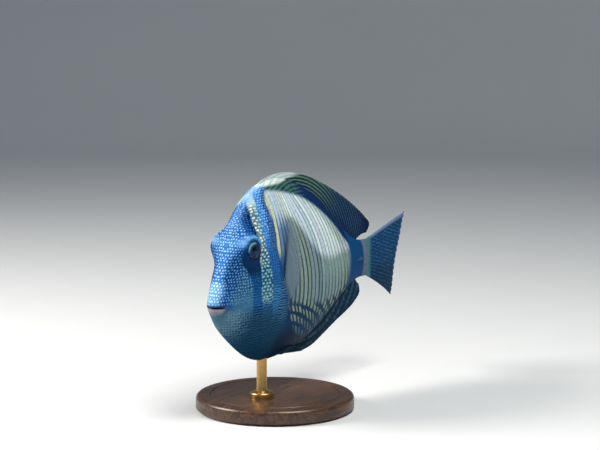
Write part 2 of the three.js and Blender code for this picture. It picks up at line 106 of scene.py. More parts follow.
# %% Mesh from a wrapped grid
def sleeve(name, rings, values=None, colors=None):
    """Closed mesh from rings[row, around, xyz] in metres. Each end is zipped across, point j to point -1-j."""
    rows, around = rings.shape[:2]
    index = np.arange(rows * around).reshape(rows, around)
    turned = np.roll(index, -1, axis=1)
    sides = np.stack([index[:-1], turned[:-1], turned[1:], index[1:]], -1).reshape(-1, 4)
    half = np.arange(around // 2 - 1)
    first, last = index[0], index[-1]
    start_cap = np.stack([first[half], first[-1 - half], first[-2 - half], first[half + 1]], -1)
    end_cap = np.stack([last[half], last[half + 1], last[-2 - half], last[-1 - half]], -1)
    faces = np.concatenate([sides, start_cap, end_cap])
    points = rings.reshape(-1, 3)
    a, b, c, d = (points[faces[:, k]] for k in range(4))
    volume = np.einsum("ij,ij->", a, np.cross(b, c)) + np.einsum("ij,ij->", a, np.cross(c, d))
    if volume < 0:
        faces = faces[:, ::-1]
    mesh = bpy.data.meshes.new(name)
    mesh.vertices.add(len(points))
    mesh.vertices.foreach_set("co", points.astype(np.float32).ravel())
    mesh.loops.add(faces.size)
    mesh.loops.foreach_set("vertex_index", faces.astype(np.int32).ravel())
    mesh.polygons.add(len(faces))
    mesh.polygons.foreach_set("loop_start", np.arange(0, faces.size, 4, dtype=np.int32))
    mesh.update(calc_edges=True)
    mesh.validate()
    mesh.shade_smooth()
    for key, value in (values or {}).items():
        layer = mesh.attributes.new(key, "FLOAT", "POINT")
        layer.data.foreach_set("value", np.broadcast_to(value, (rows, around)).astype(np.float32).ravel())
    for key, value in (colors or {}).items():
        layer = mesh.attributes.new(key, "FLOAT_VECTOR", "POINT")
        layer.data.foreach_set("vector", value.astype(np.float32).ravel())
    made = bpy.data.objects.new(name, mesh)
    bpy.context.scene.collection.objects.link(made)
    print(name, "triangles", 2 * len(faces))
    return made


# %% [markdown]
# Materials are node trees made by one helper. Colours are written as on a paint card, in sRGB,
# and turned linear here.

# %% Node and colour helpers
def linear(code):
    """sRGB hex to linear RGB: c/12.92 below 0.04045, else ((c + 0.055) / 1.055)^2.4."""
    c = np.array([int(code[i:i + 2], 16) for i in (1, 3, 5)]) / 255
    return np.where(c < 0.04045, c / 12.92, ((c + 0.055) / 1.055) ** 2.4)


def rgba(code):
    return (*linear(code), 1.0)


def add(tree, kind, inputs=None, **settings):
    """Adds a node, kind being its type without "ShaderNode", and sets its options. Each named input gets
    a value, a link from a socket, or a link from the first output in use of a node."""
    made = tree.nodes.new("ShaderNode" + kind)
    for key, value in settings.items():
        setattr(made, key, value)
    for key, value in (inputs or {}).items():
        if isinstance(value, bpy.types.Node):
            value = next(socket for socket in value.outputs if socket.enabled)
        if isinstance(value, bpy.types.NodeSocket):
            tree.links.new(value, made.inputs[key])
        else:
            made.inputs[key].default_value = value
    return made


def material(name):
    """An empty material and its node tree."""
    made = bpy.data.materials.new(name)
    made.use_nodes = True
    made.node_tree.nodes.clear()
    return made, made.node_tree


print("mid grey, linear", linear("#808080").round(3))

# %% [markdown]
# The body is a tall, flat disc of a fish. Each cross-section is a rounded lens between the back and the
# belly, widest a little above the middle. Curves over the length give back, belly, width and widest line.

# %% Body shape
back = through([[0, 1.8], [2, 5.6], [5, 11.4], [9, 19.4], [12, 25], [15, 29.3], [18.5, 33], [22.5, 36.2],
                [27, 38.5], [32, 39.8], [39, 40], [48, 38], [58, 33.2], [68, 26.4], [78, 18.4], [85, 13.2],
                [90, 10.9], [96, 10.3]])
half_width = through([[0, 3.2], [3, 4.3], [8, 5.4], [14, 6.7], [20, 7.8], [28, 8.6], [36, 8.7], [46, 8.2],
                      [58, 6.8], [70, 4.8], [80, 3.2], [88, 2.3], [96, 1.5]])
widest = through([[0, -0.2], [10, 0.6], [20, 3.2], [36, 5], [60, 6], [80, 4.6], [90, 3.5], [96, 3.2]])
ridge = through([[0, 1], [12, 0.8], [24, 0.85], [40, 1.1], [60, 1.15], [96, 1.1]])
KEEL = 1.1
gill_edge = through([[-30, 13], [-20, 19.5], [-12, 24.2], [-4, 27.6], [4, 29.2], [12, 29], [20, 27.4],
                     [30, 25.6], [46, 24.4]])
cheek_edge = through([[-22, 10.5], [-13, 15.6], [-5, 19.4], [4, 21.2], [12, 21.2], [20, 20.4]])
EYE_X, EYE_Y, EYE_Z = 14.3, 6.7, 18.4
EYE_RADIUS, EYE_DEPTH = 3.6, 3.1


def flank(x, z):
    """Half width at height z: w sqrt(1 - h^2)^power, with h from 0 at the widest line to 1 at back or belly."""
    middle = widest(x)
    upper = z > middle
    reach = np.where(upper, back(x) - middle, middle - belly(x))
    round_off = np.sqrt(np.clip(1 - ((z - middle) / reach) ** 2, 0, 1))
    return half_width(x) * round_off ** np.where(upper, ridge(x), KEEL)


print("body depth and width", back(39) - belly(34), 2 * half_width(36))

# %% [markdown]
# On the plain lens stand the eye mounts, the gill cover's step, the cheek plate and the shoulder behind it.
# Finer forms are the rim, socket and brow of the eye, the gill slit and the nostrils.

# %% Relief
def relief(x, z):
    """What stands out from the plain lens shape: eye mount, gill cover, cheek plate and shoulder."""
    out = np.hypot(x - 14.4, z - 18.5) / 4.9
    mount = (7.9 - flank(x, z)) * np.exp(-0.5 * out ** 3.4)
    cover = 0.28 * smooth(-16, -8, z) * smooth(24, 16, z) * smooth(gill_edge(z) + 0.5, gill_edge(z) - 1.5, x)
    cheek = 0.22 * smooth(-14, -6, z) * smooth(16, 8, z) * smooth(cheek_edge(z) + 0.4, cheek_edge(z) - 1.6, x)
    shoulder = 0.45 * np.exp(-0.5 * (np.hypot(x - 32, (z - 0.4) / 1.5) / 2.6) ** 2)
    return mount + cover + cheek + shoulder


def detail(x, z):
    """Finer forms than the solids have: the eye's rim, socket and brow, the gill slit, the groove behind
    the cheek and the nostrils, which are pits with a low rim."""
    out = np.hypot(x - EYE_X, 1.08 * (z - EYE_Z))
    rim = 0.36 * np.exp(-((out - EYE_RADIUS) / 0.3) ** 2) - 2.6 * smooth(3.42, 2.85, out)
    above = smooth(-0.2, 0.8, (z - EYE_Z) / np.maximum(out, 0.1))
    brow = 0.8 * np.exp(-((out - 4.9) / 0.85) ** 2) * above
    slit = -0.34 * np.exp(-((x - gill_edge(z) - 0.35) / 0.28) ** 2) * smooth(-17, -10, z) * smooth(25, 17, z)
    groove = -0.16 * np.exp(-((x - cheek_edge(z) - 0.3) / 0.35) ** 2) * smooth(-14, -6, z) * smooth(15, 7, z)
    pits = [(8.1, 12.6, 0.42), (9.3, 13.5, 0.34)]
    nostrils = sum(-0.9 * r * np.exp(-((x - a) ** 2 + (z - b) ** 2) / (0.7 * r) ** 2)
                   + 0.25 * r * np.exp(-((np.hypot(x - a, z - b) - 1.25 * r) / (0.45 * r)) ** 2)
                   for a, b, r in pits)
    return rim + brow + slit + groove + nostrils


print("eye mount stands out by", relief(EYE_X, EYE_Z).round(2))

# %% [markdown]
# A point of the skin is given by its station along the body and its angle round the section. In front, the
# sections bend forward into the snout, and the lips roll from the face into the mouth.

# %% Points of body and lips
def body_point(x, angle):
    """Skin at station x and angle round the section, 0 at the left side and a quarter turn at the back."""
    up, side = np.sin(angle), np.cos(angle)
    middle = widest(x)
    z = middle + up * np.where(up > 0, back(x) - middle, middle - belly(x))
    y = half_width(x) * np.abs(side) ** np.where(up > 0, ridge(x), KEEL)
    y = y + (relief(x, z) + detail(x, z)) * np.clip(3 * np.abs(side), 0, 1)
    snout = x + 2.6 * (1 - smooth(0, 9, x)) * side ** 2 + 0.5 * np.clip(-up, 0, 1) * (1 - smooth(0, 6, x))
    return np.stack([snout, -np.sign(side) * y, z], -1)


LIP = 0.85


def lip_point(roll, angle):
    """Lips rolled from the mouth's inside, roll 0, to the face, roll 1: a circle of LIP round the gap."""
    up, side = np.sin(angle), np.cos(angle)
    turn = roll * np.pi
    spread = 0.16 + LIP * (1 - np.cos(turn))
    across = 2.8 + 0.55 * (1 - np.cos(turn))
    x = 0.57 - LIP * np.sin(turn) + 2.6 * side ** 2 + 0.5 * np.clip(-up, 0, 1)
    return np.stack([x, -side * across, -0.1 + up * spread], -1)


print("upper lip at", lip_point(0.5, np.pi / 2).round(2))

# %% [markdown]
# The skin is one sleeve from inside the mouth to the tail root, so no seam parts head, gill cover and trunk.
# Its rings lie closer together at the face and gill, where the small forms are.

# %% Skin surface
def spaced(*spans):
    """Even steps over each span (from, to, count), without its end, one span after the other."""
    return np.concatenate([np.linspace(a, b, count, endpoint=False) for a, b, count in spans])


quarter = spaced((-90, 20, 52), (20, 60, 62), (60, 90, 20)) + 0.35
angles = np.radians(np.concatenate([quarter, 180 - quarter[::-1]]))
rolls = np.linspace(0, 0.8, 14)
stations = np.concatenate([spaced((0.9, 8, 44), (8, 21, 100), (21, 33, 62)), np.linspace(33, 96, 126)])
throat = lip_point(np.zeros((1, 1)), angles[None]) * [1, 0.8, 1] + [3.4, 0, 0]
lips = lip_point(rolls[:, None], angles[None])
flesh = body_point(stations[:, None], angles[None])
rings = np.concatenate([throat, lips, flesh])
x, z = rings[..., 0], rings[..., 2]
print("skin grid", rings.shape)

# %% [markdown]
# The dots of a fish follow its skin, not the camera, so the skin needs measures of its own. `along` grows
# from the line of forehead, lip and keel back over the side. `round_it` is the height z on face and flank,
# and the length round the section from its widest line where the back curves over to the ridge.

# %% The skin's own measures
step = np.linalg.norm(np.diff(rings, axis=1), axis=-1)
run = np.concatenate([np.zeros((len(rings), 1)), np.cumsum(step, axis=1)], axis=1)
left_middle = np.argmin(np.abs(angles))
right_middle = np.argmin(np.abs(angles - np.pi))
on_left = np.arange(len(angles)) < len(quarter)
girth = np.where(on_left[None], run - run[:, [left_middle]], run[:, [right_middle]] - run)
round_it = mix(z, girth + widest(np.clip(x, 0, 96)), smooth(24, 38, z))

heights = np.linspace(-26, 41, 400)
over, under = np.linspace(0, 39, 800), np.linspace(0, 34, 800)
ridge_x = np.where(heights > 0, np.interp(heights, back(over), over), np.interp(-heights, -belly(under), under))
behind_ridge = np.maximum(x - np.interp(z, heights, ridge_x), 0)
from_middle = np.abs(rings[..., 1])
ROUNDING = 1.54
along = (behind_ridge ** ROUNDING + from_middle ** ROUNDING) ** (1 / ROUNDING)
print("along to", along.max().round(1), "round it", round_it.min().round(1), "to", round_it.max().round(1))

# %% [markdown]
# From snout to tail the living fish has a blue face with rows of pale dots, a dark bar through the eye, a band
# of white beads, a blue band, and a flank of pale curved stripes. Each border is a smooth curve through a
# few places seen on the fish: x at a height z for the upright bands, z at a station x for the stripes' ends.
# The whitish rim, a painted rim light along nape and dorsal front, and the arcs run on from the back into the
# dorsal fin, so both are functions of place.

# %% Borders of the bands
bar_front = through([[-24, 13.5], [-10, 14.4], [0, 14.4], [8, 14], [11.5, 12.2], [14, 10.2], [17, 9.8],
                     [20, 11.5], [24, 13.6], [30, 15.2], [36, 19.5]])
bar_back = through([[-24, 22.5], [-10, 20.5], [-3, 19], [3, 18.3], [10, 18.7], [16, 18], [20, 18.6],
                    [25, 18.2], [30, 18.2], [33, 19], [36, 21.5], [39, 26]])
beads_back = through([[-10, 24.6], [0, 24.4], [5, 24.3], [10, 24], [15, 23.2], [20, 22.2], [25, 22.4],
                      [30, 22.1], [33, 21.8], [36, 22.8], [39, 26.5]])
blue_back = through([[-10, 27.2], [0, 28], [8, 28.2], [15, 28], [20, 27.7], [25, 27.2], [30, 26.3],
                     [34, 25.7], [37, 27.5], [39, 30]])
stripes_top = through([[26, 37.4], [34, 36.2], [40, 35], [48, 32.6], [60, 26.6], [70, 20], [80, 11.4], [88, 7]])
stripes_low = through([[26, -1], [34, -2.5], [40, -3.5], [48, -5], [58, -6.5], [68, -6.5], [78, -4], [84, 0]])
# Borders of the upper flank's pale stripes: partly the fish's own pale flank, partly painted light from above.
pale_and_lit_top = through([[30, 36], [45, 33.5], [50, 30.5], [55, 27.5], [60, 24], [65, 19.5], [70, 15], [76, 10]])
pale_and_lit_low = through([[26, 24], [32, 26], [38, 26], [44, 21.5], [50, 15.5], [56, 10.5], [62, 8.5], [76, 8.5]])
# Lower edge of the painted rim light, a whitish highlight on nape and dorsal fin.
rim_light_edge = through([[18, 33.2], [22, 36], [26, 38], [30, 38.3], [36, 38.5], [44, 39.2], [50, 39.6], [60, 39.6]])
ARC_PITCH = 0.66
print("bar through the eye from", bar_front(EYE_Z).round(1), "to", bar_back(EYE_Z).round(1))


def between(low, high, value, soft):
    """1 between two edges, with a soft change of the given width at each."""
    return smooth(low - soft, low + soft, value) * smooth(high + soft, high - soft, value)


def painted_rim_light(x, z):
    """1 in the painted rim light, a whitish highlight along the nape and the front of the dorsal fin, above the
    rim light's edge curve.
    """
    return smooth(rim_light_edge(x) - 0.5, rim_light_edge(x) + 0.6, z) * smooth(60, 46, x)


def back_arcs(x, z):
    """Counts the arcs over back and dorsal fin: distance from a centre in the flank, over the arcs' pitch."""
    return np.hypot(x - 46, (z - 6) * 1.05) / ARC_PITCH


# %% [markdown]
# A mask is 1 where its part of the pattern is and 0 elsewhere, with a soft border as in skin.
# The masks are mixed here on the points, because they change slowly from one point to the next.

# %% Masks of the bands
face = smooth(bar_front(z) + 0.5, bar_front(z) - 0.5, x)
bar = between(bar_front(z), bar_back(z), x, 0.5)
bead_band = between(bar_back(z), beads_back(z), x, 0.35) * smooth(-3, 1, z)
blue_band = between(beads_back(z), blue_back(z), x, 0.5) * smooth(-9, -2, z)
behind = smooth(blue_back(z) - 0.3, blue_back(z) + 0.8, x)
# Painted rim light: the whitish highlight along the nape's outline.
crown_rim_light = painted_rim_light(x, z)
# Painted highlight along the forehead's ridge line, where the outline catches the light.
ridge_highlight = smooth(3.2, 0.8, from_middle) * smooth(23, 30, z) * smooth(29, 26, x)

stalk_curve = x + 0.1 * np.abs(z - 4)
stalk = smooth(79.5, 82, stalk_curve)
top_flank = behind * smooth(stripes_top(x) - 1, stripes_top(x) + 1, z)
low_flank = behind * smooth(stripes_low(x) + 1, stripes_low(x) - 2, z) * smooth(32, 35, x)
slanted_front = mix(smooth(-1, 1.5, x - 32 + 0.75 * (z + 4)), 1, smooth(-4, -1, z))
stripe_zone = (behind * smooth(stripes_top(x) + 0.8, stripes_top(x) - 0.8, z)
               * (1 - smooth(17, 12, z) * smooth(34.5, 32, x))
               * (1 - 0.75 * smooth(28, 23, z) * between(30, 36, x, 0.4))
               * smooth(83, 79.5, stalk_curve) * smooth(-20, -15, z + 0.1 * (x - 45)) * slanted_front)
# Where the upper flank's stripes and gaps are paler: partly the fish's own pale flank, partly painted light from
# above.
pale_and_lit = (stripe_zone * smooth(pale_and_lit_low(x) - 1.5, pale_and_lit_low(x) + 2.5, z)
       * mix(0.45, 1, smooth(pale_and_lit_top(x) + 2, pale_and_lit_top(x) - 2, z)))
print("stripes cover", stripe_zone.mean().round(2), "of the points")

# %% [markdown]
# The head has its own small areas: a brighter forehead, snout and front edge lit up by painted rim light, a
# middle darkened by painted shade, a greener cheek, painted shade round the eye with a painted highlight on the
# brow over it, greyish lips and the dark line of painted shade in the gap between them.

# %% Masks of the head
forehead = face * smooth(17, 27, z)
# Snout and its front edge are painted lighter: painted rim light from the far side.
snout = face * smooth(6, 1, along)
snout_rim_light = smooth(4.5, 1.5, along) * between(0.8, 8, z, 1)
# Painted shade in the groove between the eye mount and the mouth.
mid_face_shade = face * between(6, 16.5, z, 2) * smooth(1, 3.5, along)
cheek = face * smooth(6, 11, along) * smooth(-2, 3, z) * smooth(17, 11, z)
low_front = smooth(-1, -8, z) * smooth(31, 27, x)

from_eye = np.hypot(x - EYE_X, z - EYE_Z)
# Painted shade round the eye, reaching further below it, as in a socket.
socket_shade = smooth(5.3, 3.7, from_eye + 0.25 * (z - EYE_Z))
# Painted highlight on the upper side of the brow.
brow = np.exp(-((from_eye - 4.5) / 0.6) ** 2) * smooth(0.1, 0.6, (z - EYE_Z) / np.maximum(from_eye, 0.1))
bead_line = between(bar_back(z), bar_back(z) + 0.9, x, 0.3) * between(13, 22.5, z, 2)
lips_zone = smooth(2, 0.1, x - 2.6 * (1 - np.minimum(1, np.abs(z) / 3))) * smooth(3, 1.4, np.abs(z + 0.4))
# Painted shade: the dark line in the gap between the lips.
mouth = smooth(0.65, 0.2, np.abs(z + 0.1)) * smooth(4.1, 2.2, x)
print("dark ring round the eye on", int((socket_shade > 0.5).sum()), "points")

# %% [markdown]
# Colour is laid as a painter would, a base colour and then one coat over the other, each where its mask is.
# Most coats are pigment, some are painted light and painted shade, named where they are laid.
# `ground` is the skin between the small marks, `mark` the colour of dots, beads and lines, and `gaps` the
# dark skin between the stripes.

# %% Pigment, painted light and painted shade of the skin
def painted(like, base, *coats):
    """A base colour at every point of like, then coats (amount, colour): each moves the colour by
    amount times the way to its own."""
    color = np.ones((*like.shape, 3)) * linear(base)
    for amount, code in coats:
        color = color + (linear(code) - color) * amount[..., None]
    return color


# Coats of painted light on snout and front edge, and of painted shade in the middle of the face.
face_ground = [
    (snout * smooth(0, 5, z), "#2468b4"), (forehead, "#1e589e"), (mid_face_shade, "#0c3874"), (snout_rim_light, "#5b9fe0"),
    (cheek, "#1f4f78"), (face * smooth(6, -1, z) * smooth(3, 8, x), "#346489"), (smooth(0, -6, z), "#184363"),
    (smooth(0, -3, z) * smooth(11, 6, x), "#466b7e"), (smooth(-5, -13, z), "#103857"),
    (bar * smooth(-12, 2, z), "#103f70"), (bar * between(9, 17.5, z, 1.5), "#072c4e"),
    (bar * smooth(17, 24, z), "#0f4184"),
    (between(bar_back(z) - 2.2, bar_back(z), x, 0.6) * smooth(18, 23, z), "#081f4c"),
    (bar * smooth(0, -3, z), "#0d2d4c")]
band_ground = [
    (bead_band, "#1f4f72"), (bead_band * smooth(14, 24, z), "#54798e"),
    (bead_band * smooth(12, 24, z) * smooth(1.8, 3, x - bar_back(z)), "#3d78a8"),
    # Painted highlight: the bead band's top, by the nape's outline, is pale.
    (bead_band * smooth(31, 34, z), "#a9c9cc"), (bead_line, "#9db08c"),
    (blue_band, "#1a5296"), (blue_band * smooth(12, 4, z), "#174c7e"),
    (blue_band * smooth(16, 24, z) * smooth(beads_back(z) + 2.6, beads_back(z) + 1.2, x), "#2a78d0"),
    (blue_band * smooth(10, 20, z) * smooth(beads_back(z) + 1.6, beads_back(z) + 3, x), "#2b4a84")]
flank_ground = [
    (behind, "#1c4878"), (behind * smooth(24, 28, z), "#2f5288"),
    (behind * between(29.6, 36, x, 0.6) * smooth(8, 15, z), "#3d6490"), (behind * smooth(8, 1, z), "#133f60"),
    (low_flank, "#11335a"), (behind * smooth(-10, -17, z), "#05243f"), (top_flank, "#0a2854"),
    (top_flank * smooth(50, 42, x), "#153c40"), (stalk, "#0a4272"), (stalk * smooth(91.8, 93, x), "#5d6a80")]
# Painted shade round the eye and in the mouth's gap; painted highlights on the brow, the ridge line and the nape.
last_ground = [
    (socket_shade, "#0a3260"), (0.75 * brow, "#76b4ee"), (0.7 * low_front * smooth(9, 13, x), "#12364f"),
    (0.6 * ridge_highlight, "#3f7cc4"), (crown_rim_light, "#aec9d2"), (lips_zone * smooth(0.6, -0.6, z), "#8f8a92"),
    (mouth, "#232936")]
ground = painted(x, "#0e3d80", *face_ground, *band_ground, *flank_ground, *last_ground)

# Marks take painted light on snout, front edge, ridge and nape, and painted shade in the middle of the face.
mark = painted(
    x, "#5f9cd4", (snout, "#a4d2f6"), (forehead, "#8cbeec"), (mid_face_shade, "#5a92c6"), (snout_rim_light, "#d2ecfa"),
    (cheek, "#6d9fc0"), (smooth(9, 3, z) * smooth(3, 8, x), "#6c9cb6"),
    (smooth(3, -2, z) * smooth(29, 25, x), "#41718e"), (smooth(-4, -12, z), "#1f4a66"),
    (between(24.5, 33, x, 1) * between(-8, 7, z, 2), "#4c7cac"), (bar, "#2f78c0"), (0.7 * ridge_highlight, "#a8d0f2"),
    (bead_band, "#86bcc0"), (bead_band * smooth(10, 24, z), "#e4e8d4"),
    (bead_band * smooth(12, 24, z) * smooth(1.4, 2.4, x - bar_back(z)), "#a2d0de"),
    (blue_band, "#4d8fcc"), (blue_band * smooth(12, 4, z), "#3f82b0"), (blue_band * smooth(16, 28, z), "#8cc6f2"),
    (top_flank, "#42645c"), (crown_rim_light, "#d6e0ce"), (low_front, "#2a5a7a"),
    (smooth(0, -3, z) * smooth(15, 8, x) * smooth(-18, -9, z), "#7199ab"))

# Gaps in the upper flank's pale zone are lighter: partly their own colour, partly painted light from above.
gaps = painted(
    x, "#4c6670", (between(40, 58, x, 4) * smooth(24, 14, z), "#33474f"),
    (smooth(54, 60, x) * smooth(10, 7, z) * (1 - low_flank), "#6a8685"), (pale_and_lit, "#819cab"),
    (smooth(38, 32, x), "#33568c"), (smooth(44, 38, x) * smooth(26, 30, z), "#93adc6"),
    (smooth(6, -4, z), "#2d4c5e"), (low_flank, "#0f385c"))
low_tint = painted(x, "#93a27c", (smooth(-8, -15, z), "#365a6c"))
print("pigment laid on", x.size, "points")

# %% [markdown]
# The small marks are finer than the points, so the material draws them. It needs to know where it is in each
# pattern: the number of the stripe, of the row of dashes or of the arc, and the cell of the dots and beads.
# Low on the flank the stripes break into dashes that lie in slanting rows and count on their own.
# Pitches are in percent of length, so a face dot and its gap take 2.1 mm and a stripe 5.3 mm.

# %% Numbers for the small marks
DOT_PITCH, DOT_ROWS = 1.1, 1.0
BEAD_PITCH, BEAD_ROWS = 1.85, 1.15
STRIPE_PITCH, STRIPE_ZERO = 2.80, 44.9
DASH_PITCH, DASH_ROWS = 2.15, 3.6

face_dots = face * mix(smooth(-1, 1, z), smooth(1, 6, z), smooth(4, 7, x))
jaw_dots = 0.75 * face * smooth(-17, -7, z) * smooth(5, 1, z) * smooth(3, 5, x)
bar_dots = bar * (0.75 * smooth(19, 24, z) + 0.45 * smooth(12, 8, z) * smooth(-3, 2, z))
blue_dots = blue_band * mix(0.4, 1, smooth(14, 26, z) * smooth(beads_back(z) + 3.4, beads_back(z) + 2, x))
off_mouth = smooth(0.3, 1.1, np.abs(z + 0.1) + 0.3 * smooth(4, 6, x))
dots = np.clip(face_dots + bar_dots + blue_dots + jaw_dots, 0, 1)
dots = dots * (1 - socket_shade) * (1 - 0.7 * crown_rim_light) * off_mouth
chest_lines = (smooth(6, 1, z) * smooth(2.5, 5, x) * (1 - 0.55 * face) * smooth(33, 28, x)
               * smooth(-24, -10, z))
shoulder_lines = between(24.5, 33, x, 0.7) * between(-8, 6, z, 2)

bow = 0.0035 + 0.0073 * smooth(27, 44, x) + 0.004 * smooth(62, 80, x)
phase = (x + bow * z ** 2 - STRIPE_ZERO) / (STRIPE_PITCH - 0.018 * np.clip(z, -5, 40))
slant = 0.31 + 0.012 * np.maximum(-5 - z, 0)
low_rows = (z + slant * (x - 40) + 0.004 * (x - 40) ** 2 + 1.2) / DASH_ROWS - 0.25
low_phase = (x + 0.5 * (z + 5)) / DASH_PITCH
face_grid = np.stack([along / DOT_PITCH, round_it / DOT_ROWS, 0 * x], -1)
bead_grid = np.stack([(x - bar_back(z)) / BEAD_PITCH + 0.15, round_it / BEAD_ROWS, 0 * x], -1)

values = {"along": along, "round_it": round_it, "dots": dots, "beads": bead_band * smooth(34.5, 32.5, z),
          "lines": chest_lines + shoulder_lines, "arc": back_arcs(x, z),
          "arc_zone": top_flank * smooth(54, 44, x), "stripes": stripe_zone, "phase": phase, "pale_and_lit": pale_and_lit,
          "front": behind * smooth(37, 33, x), "low": low_flank * (1 - stalk),
          "low_tone": 0.75 * low_flank, "low_rows": low_rows, "low_phase": low_phase}
vectors = {"ground": ground, "mark": mark, "gaps": gaps, "low_tint": low_tint, "face_grid": face_grid,
           "bead_grid": bead_grid}
skin = sleeve("skin", placed(rings), values, vectors)
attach(skin, "root")
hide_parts("head", "gill_cover_left", "gill_cover_right", "trunk", "tail_stalk")

# %% [markdown]
# Living fish skin is pigment under a clear wet film. Every stored value comes into the material as an
# attribute. The dots are a cell pattern whose rows lie one cell apart, with every second row moved half a
# cell, and a slow noise bends the rows a little, because no fish is drawn with a ruler.

# %% Skin material, dots and lines
wet_skin, tree = material("wet fish skin")
field = {name: add(tree, "Attribute", attribute_name=name).outputs["Fac"] for name in values}
field |= {name: add(tree, "Attribute", attribute_name=name).outputs["Vector"] for name in vectors}
wobble = add(tree, "TexNoise", {"Vector": field["face_grid"], "Scale": 0.45, "Detail": 2.0},
             noise_dimensions="2D")
shift = add(tree, "VectorMath", {0: wobble.outputs["Color"], 1: (0.5, 0.5, 0.5)}, operation="SUBTRACT")


def lattice(grid, bend, radius, soft, jitter):
    """Round marks of a radius in cells, in rows one cell apart, every second row moved half a cell.
    The grid is bent by the noise first. The mark is 1 below radius - soft and 0 above radius + soft."""
    bent_grid = add(tree, "VectorMath", {0: shift, 1: (bend, bend, 0), 2: grid}, operation="MULTIPLY_ADD")
    place = add(tree, "SeparateXYZ", {0: bent_grid})
    row_up = add(tree, "Math", {0: place.outputs["Y"], 1: 0.5 - jitter / 2}, operation="ADD")
    row = add(tree, "Math", {0: row_up}, operation="FLOOR")
    odd = add(tree, "Math", {0: row, 1: 1.0}, operation="PINGPONG")
    moved = add(tree, "Math", {0: odd, 1: 0.5, 2: place.outputs["X"]}, operation="MULTIPLY_ADD")
    cell = add(tree, "CombineXYZ", {0: moved, 1: place.outputs["Y"]})
    near = add(tree, "TexVoronoi", {"Vector": cell, "Scale": 1.0, "Randomness": jitter}, voronoi_dimensions="2D")
    return add(tree, "MapRange", {"Value": near, "From Min": radius + soft, "From Max": radius - soft},
               interpolation_type="SMOOTHSTEP")


def arc_lines(tree, noise, bend, count):
    """A line at every even number of the count, which the noise bends first."""
    bent_count = add(tree, "Math", {0: noise, 1: bend, 2: count}, operation="MULTIPLY_ADD")
    wave = add(tree, "Math", {0: bent_count, 1: 1.0}, operation="PINGPONG")
    return add(tree, "MapRange", {"Value": wave, "From Min": 0.62, "From Max": 0.3},
               interpolation_type="SMOOTHSTEP")


LINE_PITCH = 0.92
line_phase = add(tree, "Math", {0: field["round_it"], 1: 2 * np.pi / LINE_PITCH}, operation="MULTIPLY")
line_bend = add(tree, "Math", {0: wobble, 1: 9.0, 2: line_phase}, operation="MULTIPLY_ADD")
line_wave = add(tree, "Math", {0: line_bend}, operation="SINE")
wavy_lines = add(tree, "MapRange", {"Value": line_wave, "From Min": -0.1, "From Max": 0.8, "To Max": 0.55},
                 interpolation_type="SMOOTHSTEP")
total = 0.0
for pattern, mask in ((lattice(field["face_grid"], 0.8, 0.26, 0.16, 0.3), "dots"),
                      (lattice(field["bead_grid"], 0.7, 0.31, 0.14, 0.35), "beads"),
                      (wavy_lines, "lines"), (arc_lines(tree, wobble, 1.4, field["arc"]), "arc_zone")):
    masked = add(tree, "Math", {0: pattern, 1: field[mask]}, operation="MULTIPLY")
    total = add(tree, "Math", {0: total, 1: masked}, operation="MAXIMUM")
marked = add(tree, "Mix", {"Factor": total, "A": field["ground"], "B": field["mark"]}, data_type="RGBA")
print("nodes for dots and lines", len(tree.nodes))

# %% [markdown]
# A stripe's number is its phase, rounded, and what is left over tells how far its middle is. Each number
# draws its own width and tint by chance, which is the same on every run. The first stripes are paler and
# yellower in a fixed order. Below the flank's first gap, dashes take over with their own numbers.

# %% Skin material, stripes and dashes
row_wave = add(tree, "Math", {0: wobble, 1: 0.5, 2: field["low_rows"]}, operation="MULTIPLY_ADD")
in_rows = add(tree, "Math", {0: row_wave, 1: -1.0}, operation="LESS_THAN")
count = add(tree, "Mix", {"Factor": in_rows, "A": field["phase"], "B": field["low_phase"]}, data_type="FLOAT")
number = add(tree, "Math", {0: count}, operation="ROUND")
offset = add(tree, "Math", {0: count, 1: number}, operation="SUBTRACT")
off_middle = add(tree, "Math", {0: offset}, operation="ABSOLUTE")
narrowed = add(tree, "Math", {0: field["low"], 1: 0.09, 2: off_middle}, operation="MULTIPLY_ADD")
chance = add(tree, "TexWhiteNoise", {"W": number}, noise_dimensions="1D")
breadth = add(tree, "MapRange", {"Value": chance, "To Min": 0.27, "To Max": 0.4})
fade_in = add(tree, "Math", {0: breadth, 1: narrowed}, operation="SUBTRACT")
stripe = add(tree, "MapRange", {"Value": fade_in, "From Min": -0.09, "From Max": 0.09},
             interpolation_type="SMOOTHSTEP")

row_place = add(tree, "Math", {0: row_wave, 1: 0.5}, operation="PINGPONG")
row_open = add(tree, "MapRange", {"Value": row_place, "From Min": 0.17, "From Max": 0.29},
               interpolation_type="SMOOTHSTEP")
row_off = add(tree, "Math", {0: 1.0, 1: row_open}, operation="SUBTRACT")
row_cut = add(tree, "Math", {0: row_off, 1: field["low"]}, operation="MULTIPLY")
row_keep = add(tree, "Math", {0: 1.0, 1: row_cut}, operation="SUBTRACT")
dash = add(tree, "Math", {0: stripe, 1: row_keep}, operation="MULTIPLY")

from_first = add(tree, "MapRange", {"Value": number, "From Min": -6.5, "From Max": -2.5})
tints = []
